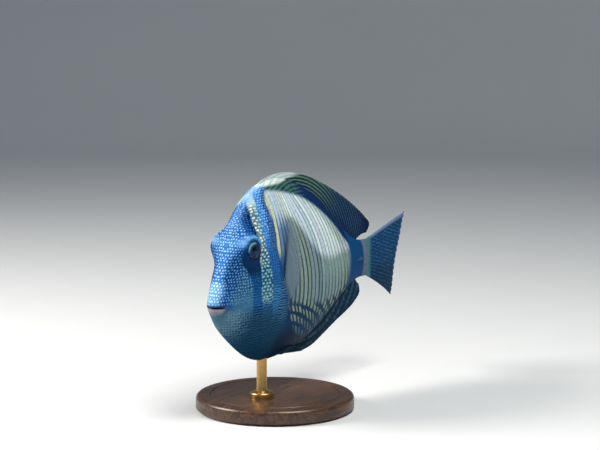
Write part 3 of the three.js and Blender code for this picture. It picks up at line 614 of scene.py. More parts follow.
# The second ramp gives the stripes' paler tints on the upper flank: partly their own colour, partly painted light
# from above.
for drawn_by, last, codes in ((chance, 1.0, ("#6d8790", "#8b9c7a", "#859e99", "#718a96")),
                              (chance, 1.0, ("#b2ccd8", "#d0dcbe", "#d8e8e4", "#bac6d8")),
                              (from_first, 0.75, ("#bfca9e", "#b0c6d9", "#abbccc", "#c2c9b1"))):
    tints.append(add(tree, "ValToRGB", {"Fac": drawn_by}))
    stops = tints[-1].color_ramp.elements
    stops[0].color = rgba(codes[0])
    stops[1].position, stops[1].color = last, rgba(codes[3])
    stops.new(0.25).color = rgba(codes[1])
    stops.new(0.5).color = rgba(codes[2])
dull_tint, pale_and_lit_tint, front_tint = tints
front_tint.color_ramp.interpolation = "CONSTANT"
tint = dull_tint
for mask, other in (("pale_and_lit", pale_and_lit_tint), ("front", front_tint), ("low_tone", field["low_tint"])):
    tint = add(tree, "Mix", {"Factor": field[mask], "A": tint, "B": other}, data_type="RGBA")
striped = add(tree, "Mix", {"Factor": dash, "A": field["gaps"], "B": tint}, data_type="RGBA")
pigment = add(tree, "Mix", {"Factor": field["stripes"], "A": marked, "B": striped}, data_type="RGBA")

# %% [markdown]
# Under the film lie the scales. Real ones are about a third of a millimetre here, too fine to show, so they
# are drawn at about 0.9 mm, as a faint relief. Mottling breaks up every even colour and the gloss with it.
# The reflection is kept weak, because on a living fish the colours show and the skin hardly mirrors.

# %% Skin material, surface
on_skin = add(tree, "CombineXYZ", {0: field["along"], 1: field["round_it"]})
scales = add(tree, "TexVoronoi", {"Vector": on_skin, "Scale": 2.2, "Randomness": 0.5},
             voronoi_dimensions="2D", feature="F1")
mottle = add(tree, "TexNoise", {"Vector": on_skin, "Scale": 0.8, "Detail": 6.0, "Roughness": 0.7},
             noise_dimensions="2D")
shade = add(tree, "MapRange", {"Value": mottle, "From Min": 0.25, "From Max": 0.75, "To Min": 0.72,
                               "To Max": 1.22})
toned = add(tree, "VectorMath", {0: pigment, 1: shade}, operation="MULTIPLY")
bump = add(tree, "Bump", {"Height": scales, "Strength": 0.35, "Distance": 0.00025})
gloss = add(tree, "MapRange", {"Value": mottle, "From Min": 0.3, "From Max": 0.7, "To Min": 0.38, "To Max": 0.55})
skin_shader = add(tree, "BsdfPrincipled", {"Base Color": toned, "Normal": bump, "Roughness": gloss, "IOR": 1.40,
                                           "Specular IOR Level": 0.03, "Coat Weight": 0.02,
                                           "Coat Roughness": 0.16, "Coat IOR": 1.33})
add(tree, "OutputMaterial", {"Surface": skin_shader})
skin.data.materials.append(wet_skin)
print("skin material nodes", len(tree.nodes))

# %% [markdown]
# A fin is thin skin stretched between bony rays. Each is a sheet whose thickness swells along every ray,
# forks with it towards the tip, and thins to the membrane between. A ray bends from its root towards a
# trailing tip, so one curve per ray gives the whole fin. The edge dips a little between two rays.

# %% Fin shape
RAY_WIDTH, RAY_FORK, SCALLOP = 0.15, 0.17, 0.012


def bent(root, lead, tip, s):
    """Quadratic Bezier curve (1-s)^2 root + 2s(1-s)(root + lead) + s^2 tip."""
    s = s[..., None]
    return (1 - s) ** 2 * root + 2 * s * (1 - s) * (root + lead) + s ** 2 * tip


def points3(x, y, z):
    return np.stack(np.broadcast_arrays(x, y, z), -1).astype(float)


def fade(thick, thin, reach):
    """Half thickness along a ray, in mm: thin + (thick - thin) exp(-s / reach)."""
    return lambda s: thin + (thick - thin) * np.exp(-s / reach)


def fin_sheet(path, rays, thick, thin, per_ray=10, rows=64):
    """Rings round the fin, out along one face and back along the other. With them come b from the first ray
    to the last, s from root to tip, and g, which is 1 on a ray. Half thickness is thin(s) + (thick(s) -
    thin(s)) g, where g = exp(-((f - fork) / width)^2) and f is the distance from a ray in ray spacings."""
    columns = (rays - 1) * per_ray + 1
    b, s = np.meshgrid(np.linspace(0, 1, columns), np.linspace(0, 1, rows) ** 0.9)
    off = np.abs(b * (rays - 1) - np.round(b * (rays - 1)))
    ray = np.exp(-((off - RAY_FORK * smooth(0.4, 0.95, s)) / RAY_WIDTH) ** 2)
    middle = path(b, s * (1 - SCALLOP * (2 * off) ** 1.5 * s))
    normal = np.cross(np.gradient(middle, axis=1), np.gradient(middle, axis=0))
    normal /= np.maximum(np.linalg.norm(normal, axis=-1, keepdims=True), 1e-9)
    half = (thin(s) + (thick(s) - thin(s)) * ray)[..., None] / 1000 / PERCENT
    sheet = np.concatenate([middle + normal * half, (middle - normal * half)[:, ::-1]], axis=1)
    return sheet, *(np.concatenate([value, value[:, ::-1]], axis=1) for value in (b, s, ray))


# %% [markdown]
# The tips of the rays, from the first ray to the last, give each fin its outline. The sail-like dorsal fin
# and the anal fin are half folded back, and the tail fin is spread with a slightly hollow edge.

# %% Tips of the rays
dorsal_x = through([[0, 30], [0.05, 35], [0.12, 42.5], [0.25, 57], [0.4, 71], [0.55, 82], [0.7, 90.5],
                    [0.82, 96], [0.92, 99.2], [1, 97]])
dorsal_z = through([[0, 40.1], [0.05, 41.18], [0.12, 41.67], [0.25, 39], [0.4, 33.6], [0.55, 28.1],
                    [0.7, 22.9], [0.82, 18.9], [0.92, 15.6], [1, 12.6]])
anal_x = through([[0, 46.8], [0.08, 51], [0.2, 58.5], [0.35, 67], [0.5, 75], [0.65, 82], [0.8, 88],
                  [0.92, 91.8], [1, 91.2]])
anal_z = through([[0, -24.2], [0.08, -24.9], [0.2, -24.2], [0.35, -21.2], [0.5, -18], [0.65, -15.5],
                  [0.8, -12.8], [0.92, -9.4], [1, -6.2]])
tail_x = through([[0, 121.6], [0.12, 121.2], [0.3, 120.8], [0.5, 120], [0.7, 120], [0.88, 120.5], [1, 120.4]])
tail_z = through([[0, 17.8], [0.12, 14.4], [0.3, 8.2], [0.5, 1.2], [0.7, -6], [0.88, -12.4], [1, -15.8]])
pectoral_x = through([[0, 32.2], [0.15, 33.9], [0.3, 35.5], [0.5, 36.9], [0.7, 37.5], [0.85, 37.3], [1, 36]])
pectoral_z = through([[0, 27], [0.15, 27.7], [0.3, 26.2], [0.5, 22], [0.7, 15.6], [0.85, 9.8], [1, 4.8]])
pelvic_x = through([[0, 50.8], [0.25, 50], [0.5, 48.6], [0.75, 46.6], [1, 44.2]])
pelvic_z = through([[0, -24.5], [0.25, -23.8], [0.5, -23], [0.75, -22.2], [1, -21.4]])
print("tail fin spread", tail_z(0) - tail_z(1))

# %% [markdown]
# A path gives the point a share s along ray b. Dorsal and anal fin stand in the middle plane, with roots
# inside the body. The tail fin twists, upper lobe to the left. The pectoral fins stand up and out from
# the sides, as paddles in a stroke, and the pelvic fins lie back along the keel.

# %% Fin paths
def median_fin(front, edge, inside, bulge, tip_x, tip_z):
    """Path of a fin in the middle plane, its roots along an edge of the body, back or belly."""
    def path(b, s):
        x = mix(front, 88, b)
        root, tip = points3(x, 0, edge(x) - inside), points3(tip_x(b), 0, tip_z(b))
        lead = points3((tip[..., 0] - x) * 0.42, 0, (tip[..., 2] - root[..., 2]) * 0.5 + bulge)
        return bent(root, lead, tip, s)
    return path


def tail_path(b, s):
    root, tip = points3(94, 0, mix(9.3, -2.9, b)), points3(tail_x(b), 0, tail_z(b))
    p = bent(root, points3(9, 0, (tip[..., 2] - root[..., 2]) * 0.28), tip, s)
    p[..., 1] = (0.7 - 0.178 * (p[..., 2] - 3.2)) * s ** 2
    return p


def pectoral_path(side):
    def path(b, s):
        root = points3(mix(30.2, 33.2, b), 0, mix(3.4, -3, b))
        p = bent(root, points3(mix(0.5, 2, b), 0, mix(9.5, 4, b)), points3(pectoral_x(b), 0, pectoral_z(b)), s)
        on_body = flank(p[..., 0], p[..., 2]) + relief(p[..., 0], p[..., 2])
        p[..., 1] = side * (on_body + mix(-1.1, 0.3, np.clip(6 * s, 0, 1)) + 2.8 * s ** 1.35)
        return p
    return path


def pelvic_path(side):
    def path(b, s):
        root = points3(mix(33.2, 36, b), 0, mix(-22.2, -20.4, b))
        p = bent(root, points3(5, 0, mix(-0.9, -0.2, b)), points3(pelvic_x(b), 0, pelvic_z(b)), s)
        on_body = np.maximum(flank(p[..., 0], p[..., 2]), mix(1.1, 1.6, b))
        p[..., 1] = side * (on_body + mix(-0.9, 0.62, np.clip(5 * s, 0, 1)))
        return p
    return path


dorsal_path = median_fin(27, back, 1.6, 1.6, dorsal_x, dorsal_z)
anal_path = median_fin(44, belly, -1.6, -1.2, anal_x, anal_z)
print("first dorsal ray ends at", dorsal_path(np.zeros(1), np.ones(1)).round(1))

# %% [markdown]
# Pale arcs cross the dorsal fin from its margin down to its dark blue base, and the nape's painted rim light,
# a whitish highlight, runs on over its front. The anal fin has the same arcs broken into dots, and the tail fin
# has short pale dashes along its rays. `arc` counts the arcs, `lines` says how strongly they show, and `dash` how
# much they break up. The pectoral fins have `solid` instead, which is 1 where their film hides what is behind it.

# %% Pigment of the fins, with the painted rim light
def dorsal_pattern(x, z, b, s):
    # rim is the nape's painted rim light, a whitish highlight, running on over the fin's front.
    rim = painted_rim_light(x, z)
    ground = painted(x, "#123436", (smooth(0.55, 0.1, s) * smooth(44, 56, x), "#0a264e"),
                     (smooth(70, 84, x), "#082042"), (smooth(0.9, 1, s) * smooth(0.8, 0.4, b), "#6f8780"),
                     (rim, "#aec9d2"))
    mark = painted(x, "#64857a", (smooth(60, 80, x), "#2d5070"), (rim, "#d6e0ce"))
    lines = smooth(98, 88, x) * (1 - 0.6 * smooth(0.4, 0.1, s) * smooth(46, 58, x))
    return {"arc": back_arcs(x, z), "lines": lines, "dash": 0.25}, {"ground": ground, "mark": mark}


def anal_pattern(x, z, b, s):
    arc = np.hypot(x - 52, (z - 6) * 1.15) / 1.6
    ground = painted(x, "#0e2c48", (smooth(0.9, 1, s), "#0a2136"))
    mark = painted(x, "#45625f", (smooth(62, 84, x), "#34586a"))
    return {"arc": arc, "lines": smooth(0.95, 0.7, s), "dash": 0.9}, {"ground": ground, "mark": mark}


def tail_pattern(x, z, b, s):
    ground = painted(x, "#123f6a", (smooth(4, -8, z), "#0d3050"), (smooth(0.09, 0.02, b), "#8098b8"),
                     (smooth(0.97, 1, s), "#5c7c98"), (smooth(101, 98, x), "#4f8590"),
                     (smooth(96.8, 95, x), "#566680"))
    mark = painted(x, "#2e6c9a", (smooth(4, -8, z), "#1e5074"))
    lines = 0.9 * (smooth(98, 101, x) * smooth(0.02, 0.09, b))
    return {"arc": (z + 0.32 * (x - 94)) / 0.7, "lines": lines, "dash": 0.85}, {"ground": ground, "mark": mark}


def pelvic_pattern(x, z, b, s):
    ground = painted(x, "#0f2c45", (smooth(0.25, 0, b), "#2f5064"))
    return {"arc": z / 1.2, "lines": 0.25, "dash": 0.8}, {"ground": ground, "mark": painted(x, "#33586c")}


def pectoral_pattern(x, z, b, s):
    ground = painted(x, "#6a8391", (smooth(0.3, 0, s), "#3f6686"))
    solid = (1 - 0.75 * smooth(0.6, 1, s)) * (1 - 0.6 * smooth(0.12, 0, b)) * (1 - 0.5 * smooth(0.9, 1, b))
    return {"solid": solid}, {"ground": ground, "mark": painted(x, "#8599a0")}


# %% [markdown]
# The rays are counted as in the species, and their thickness is that of a fish of this size: two or three
# millimetres at the root and half of one at the tip, with a membrane of a third of a millimetre between.

# %% Build the fins
fins = {}


def build_fin(node, path, rays, thick, thin, pattern, slot="fin_membrane", **options):
    """One finished fin: its sheet, its stored pattern values and its place on the body."""
    sheet, b, s, ray = fin_sheet(path, rays, thick, thin, **options)
    values, vectors = pattern(sheet[..., 0], sheet[..., 2], b, s)
    made = sleeve(node + "_skin", placed(sheet), values | {"ray": ray}, vectors)
    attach(made, "root")
    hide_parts(node)
    fins[node] = made


build_fin("dorsal_fin", dorsal_path, 32, fade(0.9, 0.2, 0.35), fade(0.8, 0.15, 0.3), dorsal_pattern, rows=80)
build_fin("anal_fin", anal_path, 26, fade(0.95, 0.26, 0.35), fade(0.75, 0.17, 0.3), anal_pattern)
build_fin("tail_fin", tail_path, 16, fade(1.72, 0.42, 0.2), fade(1.28, 0.18, 0.16), tail_pattern,
          per_ray=18, rows=90)
for side, hand in ((-1, "left"), (1, "right")):
    build_fin(f"pectoral_fin_{hand}", pectoral_path(side), 15, fade(0.9, 0.26, 0.3), fade(0.6, 0.1, 0.25),
              pectoral_pattern, slot="clear_fin", per_ray=12, rows=70)
    build_fin(f"pelvic_fin_{hand}", pelvic_path(side), 6, fade(0.95, 0.4, 0.35), fade(0.7, 0.16, 0.3),
              pelvic_pattern, per_ray=16, rows=50)

# %% [markdown]
# Dorsal, anal, tail and pelvic fins are pigmented membrane that lets some light through, so part of the
# shader is translucent. The rays show as slightly paler, raised lines. A noise with patches of about
# 11 mm bends the arcs, and one of about 2.4 mm breaks them.

# %% Fin membrane material
membrane, tree = material("pigmented fin membrane")
field = {name: add(tree, "Attribute", attribute_name=name).outputs["Fac"]
         for name in ("arc", "lines", "dash", "ray")}
field |= {name: add(tree, "Attribute", attribute_name=name).outputs["Vector"] for name in ("ground", "mark")}
plane = add(tree, "TexCoord").outputs["Object"]
sway = add(tree, "TexNoise", {"Vector": plane, "Scale": 90.0, "Detail": 2.0})
breaks = add(tree, "TexNoise", {"Vector": plane, "Scale": 420.0, "Detail": 1.0})
broken = add(tree, "MapRange", {"Value": breaks, "From Min": 0.42, "From Max": 0.6},
             interpolation_type="SMOOTHSTEP")
kept = add(tree, "Mix", {"Factor": field["dash"], "A": 1.0, "B": broken}, data_type="FLOAT")
dashed = add(tree, "Math", {0: arc_lines(tree, sway, 0.9, field["arc"]), 1: kept}, operation="MULTIPLY")
drawn = add(tree, "Math", {0: dashed, 1: field["lines"]}, operation="MULTIPLY")
lined = add(tree, "Mix", {"Factor": drawn, "A": field["ground"], "B": field["mark"]}, data_type="RGBA")
ray_light = add(tree, "Math", {0: field["ray"], 1: 0.04}, operation="MULTIPLY")
rayed = add(tree, "Mix", {"Factor": ray_light, "A": lined, "B": rgba("#7796a4")}, data_type="RGBA")
film = add(tree, "BsdfPrincipled", {"Base Color": rayed, "Roughness": 0.5, "IOR": 1.4,
                                    "Specular IOR Level": 0.05})
through_light = add(tree, "BsdfTranslucent", {"Color": rayed})
blend = add(tree, "MixShader", {"Fac": 0.22, 1: film, 2: through_light})
add(tree, "OutputMaterial", {"Surface": blend})
print("membrane nodes", len(tree.nodes))

# %% [markdown]
# The pectoral fins have almost no pigment. Their film is grey and, wet and in motion, hides most of what
# lies behind it, except near the tip and the two edges, where it clears. The rays are paler and denser,
# and a grain of about 3 mm clouds the film.

# %% Clear fin material
clear_film, tree = material("clear fin film")
field = {name: add(tree, "Attribute", attribute_name=name).outputs["Fac"] for name in ("ray", "solid")}
field |= {name: add(tree, "Attribute", attribute_name=name).outputs["Vector"] for name in ("ground", "mark")}
grain = add(tree, "TexNoise", {"Vector": add(tree, "TexCoord").outputs["Object"], "Scale": 300.0,
                               "Detail": 3.0})
tone = add(tree, "Mix", {"Factor": field["ray"], "A": field["ground"], "B": field["mark"]}, data_type="RGBA")
grained = add(tree, "Mix", {"Factor": grain, "A": tone, "B": rgba("#647b8a")}, data_type="RGBA")
film = add(tree, "BsdfPrincipled", {"Base Color": grained, "Roughness": 0.45, "IOR": 1.4,
                                    "Specular IOR Level": 0.05})
open_air = add(tree, "BsdfTransparent")
solid_ray = add(tree, "MapRange", {"Value": field["ray"], "To Min": 0.72, "To Max": 0.95})
solidity = add(tree, "Math", {0: solid_ray, 1: field["solid"]}, operation="MULTIPLY")
blend = add(tree, "MixShader", {"Fac": solidity, 1: open_air, 2: film})
add(tree, "OutputMaterial", {"Surface": blend})
for node, made in fins.items():
    made.data.materials.append(clear_film if node.startswith("pectoral") else membrane)
print("fins finished", sorted(fins))

# %% [markdown]
# A fish eye is a ball with a clear bulging cornea in front. The iris is a flat dish behind it, and the round
# lens pokes out through the pupil. The eyes are turned a little forward, each in its rimmed socket.
# Whatever is round about an axis is turned like on a lathe, here and for the stand.

# %% Eyes
def lathe(name, profile, centre, axis, around=96, lit_from=0):
    """Closed solid of revolution: profile rows (radius, height) about axis through centre, in metres.
    It stores each point's radius, and `ahead`, the cosine of its turn away from lit_from."""
    axis = np.array(axis, float) / np.linalg.norm(axis)
    up = np.array([0, 0, 1.0]) if abs(axis[2]) < 0.9 else np.array([0, 1.0, 0])
    first = np.cross(up, axis)
    first /= np.linalg.norm(first)
    second = np.cross(axis, first)
    spin = np.linspace(0, 2 * np.pi, around, endpoint=False)
    radius, height = np.array(profile, float).T
    radius = np.maximum(radius, 1e-6)
    circle = np.cos(spin)[None, :, None] * first + np.sin(spin)[None, :, None] * second
    rings = np.asarray(centre) + height[:, None, None] * axis + radius[:, None, None] * circle
    return sleeve(name, rings, {"radius": radius[:, None], "ahead": np.cos(spin - lit_from)[None]})


def dome(radius, depth, low, high, count):
    """Points on an ellipse of the given half axes, from one share of its radius to another."""
    return [(radius * a, depth * np.sqrt(max(0, 1 - a * a))) for a in np.linspace(low, high, count)]


FORWARD = np.radians(9)
ball = [(r, -h) for r, h in dome(3.55, 3.0, 0, 1, 16)] + dome(EYE_RADIUS, 3.08, 0.995, 0.83, 12)
ball += [(2.88, 1.62), (2.65, 1.72), (2.3, 1.9), (2.02, 2.0), (1.93, 1.98), (1.88, 1.88), (1.8, 1.9)]
ball += [(r, 1.72 + h) for r, h in dome(1.85, 0.72, 0.92, 0, 10)]
clear = [(0, 1.5), (2.85, 1.5)] + dome(EYE_RADIUS, EYE_DEPTH, 0.83, 0, 24)
eyes = {}
for side, hand in ((-1, "left"), (1, "right")):
    axis = np.array([np.cos(NOSE_DOWN) * -np.sin(FORWARD), side * np.cos(FORWARD),
                     np.sin(NOSE_DOWN) * -np.sin(FORWARD)])
    centre = placed(np.array([EYE_X, side * EYE_Y, EYE_Z]))
    # The crescent faces the upper front: partly the iris's own colour, partly a painted highlight of the light
    # from above.
    crescent = np.radians(90 - 42 * side)
    iris = lathe(f"eye_{hand}_ball", np.array(ball) * PERCENT, centre, axis, lit_from=crescent)
    cover = lathe(f"eye_{hand}_cornea", np.array(clear) * PERCENT, centre, axis)
    for key, made in ((hand, iris), (hand + "_cornea", cover)):
        eyes[key] = made
        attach(made, "root")
    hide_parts(f"eye_{hand}")

# %% [markdown]
# The iris is dark blue, as the face's bar runs through it, with a green-blue crescent at its upper front
# that shines like the inside of a shell, partly the iris's own colour and partly a painted highlight of the
# light from above. A thin green ring lies round the pupil, which is the dark lens.
# The colours change with the radius, and the crescent is where `ahead` is near 1. Streaks of about a
# millimetre break up its gloss.

# %% Iris and lens material
iris_skin, tree = material("fish iris and lens")
field = {name: add(tree, "Attribute", attribute_name=name).outputs["Fac"] for name in ("radius", "ahead")}
share = add(tree, "Math", {0: field["radius"], 1: 1 / (EYE_RADIUS * PERCENT)}, operation="MULTIPLY")
bands = add(tree, "ValToRGB", {"Fac": share})
ramp = bands.color_ramp
ramp.elements[0].position, ramp.elements[0].color = 0.5, rgba("#040c1c")
ramp.elements[1].position, ramp.elements[1].color = 0.92, rgba("#1a4f8c")
for at, code in ((0.515, "#5f8a86"), (0.545, "#3c6c86"), (0.6, "#24588a"), (0.66, "#4f98a4"),
                 (0.74, "#7cc0c4"), (0.78, "#2a68a0"), (0.83, "#0b2a5c")):
    ramp.elements.new(at).color = rgba(code)
bar_dark = add(tree, "MapRange", {"Value": field["ahead"], "From Min": 0.9, "From Max": 0.3, "To Max": 0.95},
               interpolation_type="SMOOTHSTEP")
streaks = add(tree, "TexNoise", {"Vector": add(tree, "TexCoord").outputs["Object"], "Scale": 900.0,
                                 "Detail": 4.0})
streaked = add(tree, "MapRange", {"Value": streaks, "From Min": 0.3, "From Max": 0.7, "To Min": 0.7,
                                  "To Max": 1.15})
barred = add(tree, "Mix", {"Factor": bar_dark, "A": bands, "B": rgba("#0a2650")}, data_type="RGBA")
finished = add(tree, "VectorMath", {0: barred, 1: streaked}, operation="MULTIPLY")
shader = add(tree, "BsdfPrincipled", {"Base Color": finished, "Roughness": 0.4, "Specular IOR Level": 0.15})
add(tree, "OutputMaterial", {"Surface": shader})
print("iris bands", len(ramp.elements))

# %% [markdown]
# The cornea is a thin clear skin, smooth and wet. It is see-through with a faint, sharp reflection that
# grows towards its edge, so it is mixed from a transparent and a glossy shader by the angle of view.

# %% Cornea material
cornea, tree = material("clear cornea")
edge = add(tree, "Fresnel", {"IOR": 1.12})
shine = add(tree, "BsdfGlossy", {"Roughness": 0.03})
clear_air = add(tree, "BsdfTransparent")
blend = add(tree, "MixShader", {"Fac": edge, 1: clear_air, 2: shine})
add(tree, "OutputMaterial", {"Surface": blend})
for key, made in eyes.items():
    made.data.materials.append(cornea if key.endswith("cornea") else iris_skin)
print("eyes finished", list(eyes))

# %% [markdown]
# Surgeonfish carry one sharp spine on each side of the tail stalk, folded forward into a groove like a
# closed penknife. A sheath of skin covers it, so it has the dull blue of the stalk, a little cloudy.

# %% Tail spines
SPINE_FRONT, SPINE_BACK, SPINE_HEIGHT, SPINE_RADIUS = 86.3, 91.3, 3.5, 0.6
bone, tree = material("spine bone")
vein = add(tree, "TexNoise", {"Vector": add(tree, "TexCoord").outputs["Object"], "Scale": 700.0,
                              "Detail": 3.0})
sheath = add(tree, "Mix", {"Factor": vein, "A": rgba("#2a5578"), "B": rgba("#1c4466")}, data_type="RGBA")
shader = add(tree, "BsdfPrincipled", {"Base Color": sheath, "Roughness": 0.5, "Specular IOR Level": 0.15})
add(tree, "OutputMaterial", {"Surface": shader})

t = np.linspace(0, 1, 40)[:, None]
spin = np.linspace(0, 2 * np.pi, 32, endpoint=False)[None]
round_end = np.where(t > 0.8, np.sqrt(np.clip(1 - ((t - 0.8) / 0.2) ** 2, 0.02, 1)), 1)
size = SPINE_RADIUS * np.sin(np.pi * np.clip(t * 0.62 + 0.015, 0, 1)) ** 0.8 * round_end
x = mix(SPINE_FRONT, SPINE_BACK, t)
y = flank(x, SPINE_HEIGHT + 0 * x) + 0.12 + 0.72 * size * np.cos(spin)
z = SPINE_HEIGHT + 0.25 * np.sin(np.pi * t) + size * np.sin(spin)
for side, hand in ((-1, "left"), (1, "right")):
    spine = sleeve(f"tail_spine_{hand}_bone", placed(points3(x, side * y, z)))
    spine.data.materials.append(bone)
    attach(spine, "root")
    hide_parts(f"tail_spine_{hand}")

# %% [markdown]
# The living fish swims, so a turned base and a thin rod carry this one. The base has a rounded top edge and
# one turned groove, and the rod stands in a collar and ends inside the belly.

# %% Stand
BASE_RADIUS, BASE_ROUND, GROOVE_AT, GROOVE_HALF, GROOVE_DEPTH = 0.05395, 0.003, 0.0438, 0.0007, 0.0006
ROD_AT, ROD_RADIUS, COLLAR_RADIUS, COLLAR_ROUND, COLLAR_TOP = 29.0, 0.0035, 0.008, 0.0014, 0.0126


def quarter_round(centre_r, centre_h, radius, count):
    """Profile points of a rounded edge, from its outermost point up to its top."""
    a = np.radians(np.linspace(0, 90, count))
    return [(centre_r + radius * np.cos(v), centre_h + radius * np.sin(v)) for v in a]


base_profile = [(0, 0), (0.0525, 0), (BASE_RADIUS, 0.0013)]
base_profile += quarter_round(BASE_RADIUS - BASE_ROUND, BASE_TOP - BASE_ROUND, BASE_ROUND, 12)
base_profile += [(GROOVE_AT + GROOVE_HALF, BASE_TOP), (GROOVE_AT, BASE_TOP - GROOVE_DEPTH),
                 (GROOVE_AT - GROOVE_HALF, BASE_TOP), (0, BASE_TOP)]
base = lathe("stand_base_turned", base_profile, (0, 0, 0), (0, 0, 1), around=160)

rod_top = float(placed(np.array([ROD_AT, 0.0, float(belly(ROD_AT)) + 1.2]))[2])
rod_profile = [(0, BASE_TOP), (COLLAR_RADIUS, BASE_TOP), (COLLAR_RADIUS, COLLAR_TOP)]
rod_profile += quarter_round(COLLAR_RADIUS - COLLAR_ROUND, COLLAR_TOP, COLLAR_ROUND, 6)
rod_profile += [(0.0054, 0.0141), (0.0042, 0.0150), (ROD_RADIUS, 0.0172), (ROD_RADIUS, rod_top), (0, rod_top)]
rod = lathe("stand_rod_turned", rod_profile, ((ROD_AT - BASE_AT) * PERCENT, 0, 0), (0, 0, 1), around=64)
for made, node, slot in ((base, "stand_base", "wood"), (rod, "stand_rod", "brass")):
    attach(made, "root")
    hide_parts(node)
    made.modifiers.new("crisp edges", "EDGE_SPLIT").split_angle = np.radians(35)
print("rod from", round(BASE_TOP, 4), "to", round(rod_top, 4))

# %% [markdown]
# The base is dark oiled hardwood. Rings of growth run through it as long grain, so the noise is stretched
# to about 60 mm along the block and 7 mm across it. Pores 8 mm long and 1 mm wide, coarser than real ones
# so that they show, darken it. Oil leaves a soft sheen.

# %% Wood
wood, tree = material("dark oiled hardwood")
long_grain = add(tree, "Mapping", {"Vector": add(tree, "TexCoord").outputs["Object"],
                                   "Scale": (14.0, 120.0, 120.0), "Rotation": (0, 0, 0.2)})
bend_grain = add(tree, "TexNoise", {"Vector": long_grain, "Scale": 1.2, "Detail": 5.0, "Roughness": 0.6})
pores = add(tree, "TexNoise", {"Vector": long_grain, "Scale": 9.0, "Detail": 3.0})
growth = add(tree, "Math", {0: bend_grain, 1: 11.0}, operation="MULTIPLY")
growth_wave = add(tree, "Math", {0: growth, 1: 1.0}, operation="PINGPONG")
wood_tone = add(tree, "Mix", {"Factor": growth_wave, "A": rgba("#2c1a10"), "B": rgba("#5a3a22")},
                data_type="RGBA")
pore_dark = add(tree, "MapRange", {"Value": pores, "From Min": 0.36, "From Max": 0.5, "To Min": 0.55,
                                   "To Max": 1.0})
wood_color = add(tree, "VectorMath", {0: wood_tone, 1: pore_dark}, operation="MULTIPLY")
wood_bump = add(tree, "Bump", {"Height": pores, "Strength": 0.2, "Distance": 0.0002})
shader = add(tree, "BsdfPrincipled", {"Base Color": wood_color, "Roughness": 0.36, "Normal": wood_bump,
                                      "Coat Weight": 0.15, "Coat Roughness": 0.3})
add(tree, "OutputMaterial", {"Surface": shader})
base.data.materials.append(wood)
print("wood nodes", len(tree.nodes))

# %% [markdown]
# Rod and collar are satin brass, turned and then rubbed with fine cloth. What is left of the turning are
# rings of a tenth of a millimetre across the rod, so its gloss changes quickly along the height and
# slowly round it. A metal has its colour in the reflection, so Metallic is 1.

# %% Brass
brass, tree = material("satin brass")
turned_marks = add(tree, "Mapping", {"Vector": add(tree, "TexCoord").outputs["Object"],
                                     "Scale": (200.0, 200.0, 9000.0)})
fine = add(tree, "TexNoise", {"Vector": turned_marks, "Scale": 1.0, "Detail": 2.0})
satin = add(tree, "MapRange", {"Value": fine, "To Min": 0.24, "To Max": 0.42})
shader = add(tree, "BsdfPrincipled", {"Base Color": rgba("#b8935a"), "Metallic": 1.0, "Roughness": satin})
add(tree, "OutputMaterial", {"Surface": shader})
rod.data.materials.append(brass)
print("brass nodes", len(tree.nodes))

# %% [markdown]
# A plain pale floor curves up into a backdrop far behind, like a roll of paper in a studio, so no edge
# shows. It is round, so it looks the same from every side.

# %% Backdrop
FLOOR_LEVEL, FLOOR_RADIUS, CURVE_RADIUS, WALL_TOP, WALL = -0.0005, 1.9, 1.1, 2.4, 0.05
outer = FLOOR_RADIUS + CURVE_RADIUS
sweep = [(0, FLOOR_LEVEL), (FLOOR_RADIUS, FLOOR_LEVEL)]
sweep += [(FLOOR_RADIUS + CURVE_RADIUS * np.sin(a), CURVE_RADIUS - CURVE_RADIUS * np.cos(a) + FLOOR_LEVEL)
          for a in np.radians(np.linspace(4, 90, 24))]
sweep += [(outer, WALL_TOP), (outer + WALL, WALL_TOP), (outer + WALL, -WALL), (0, -WALL)]
floor = lathe("floor", sweep, (0, 0, 0), (0, 0, 1), around=128)
paper, tree = material("backdrop paper")
fibre = add(tree, "TexNoise", {"Vector": add(tree, "TexCoord").outputs["Object"], "Scale": 3.0})
paper_tone = add(tree, "Mix", {"Factor": fibre, "A": rgba("#d2d6da"), "B": rgba("#d6dadd")}, data_type="RGBA")
shader = add(tree, "BsdfPrincipled", {"Base Color": paper_tone, "Roughness": 0.8})
add(tree, "OutputMaterial", {"Surface": shader})
floor.data.materials.append(paper)

# %% [markdown]
# The light comes mostly from above: a large soft key light high over the left side, a lower one from the
# far side that draws the rim, and a weak cool fill beside the camera. The world adds a little blue.

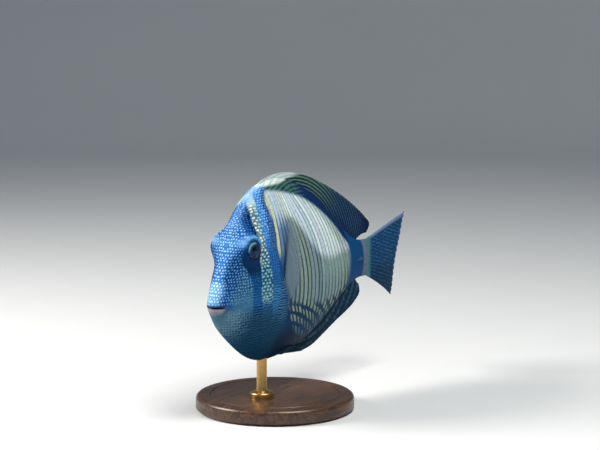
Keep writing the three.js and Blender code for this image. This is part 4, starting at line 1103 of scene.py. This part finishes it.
# %% Light
world = bpy.data.worlds.new("studio")
world.use_nodes = True
world.node_tree.nodes["Background"].inputs["Color"].default_value = rgba("#cfdcec")
world.node_tree.nodes["Background"].inputs["Strength"].default_value = 0.24
bpy.context.scene.world = world
bpy.context.scene.view_settings.view_transform = "Standard"


def direction(azimuth, elevation):
    """Unit vector towards a place seen at an azimuth, 0 on the fish's left side and -90 before its snout,
    and at an elevation, both in degrees."""
    a, e = np.radians([azimuth, elevation])
    return np.array([np.sin(a) * np.cos(e), -np.cos(a) * np.cos(e), np.sin(e)])


def area_light(name, azimuth, elevation, distance, size, watts, code):
    """A square soft light aimed at the middle of the fish."""
    way = Vector(direction(azimuth, elevation))
    data = bpy.data.lights.new(name, "AREA")
    data.shape, data.size, data.energy, data.color = "SQUARE", size, watts, linear(code)
    lamp = bpy.data.objects.new(name, data)
    lamp.location = Vector((0, 0, 0.09)) + way * distance
    lamp.rotation_euler = way.to_track_quat("Z", "Y").to_euler()
    bpy.context.scene.collection.objects.link(lamp)


area_light("key", -8, 64, 1.1, 0.5, 13, "#fffaf2")
area_light("rim", -144, 34, 1.1, 0.45, 16, "#fff8ee")
area_light("front fill", -60, 25, 1.5, 0.9, 1.2, "#e8f0ff")
print("lights", [lamp.name for lamp in bpy.data.lights])

# %% [markdown]
# The camera looks from the left front, a little from above, and from far away, because the fish's outline
# shows hardly any perspective. Its place is counted from the snout, in percent of the fish's length.

# %% Camera
AZIMUTH, ELEVATION, DISTANCE = -55, 7.5, 600
RIGHT_OF_SNOUT, OVER_SNOUT = 30.17, 28.14
LENS, SENSOR = 106.2, 36
away = direction(AZIMUTH, ELEVATION)
right = np.array([np.cos(np.radians(AZIMUTH)), np.sin(np.radians(AZIMUTH)), 0])
upward = np.cross(away, right)
camera_data = bpy.data.cameras.new("camera")
camera_data.sensor_width, camera_data.lens = SENSOR, LENS
camera = bpy.data.objects.new("camera", camera_data)
from_snout = DISTANCE * away + RIGHT_OF_SNOUT * right + OVER_SNOUT * upward
camera.location = placed(np.zeros(3)) + from_snout * PERCENT
camera.rotation_euler = Vector(away).to_track_quat("Z", "Y").to_euler()
bpy.context.scene.collection.objects.link(camera)
bpy.context.scene.camera = camera
print("camera at", [round(v, 3) for v in camera.location])
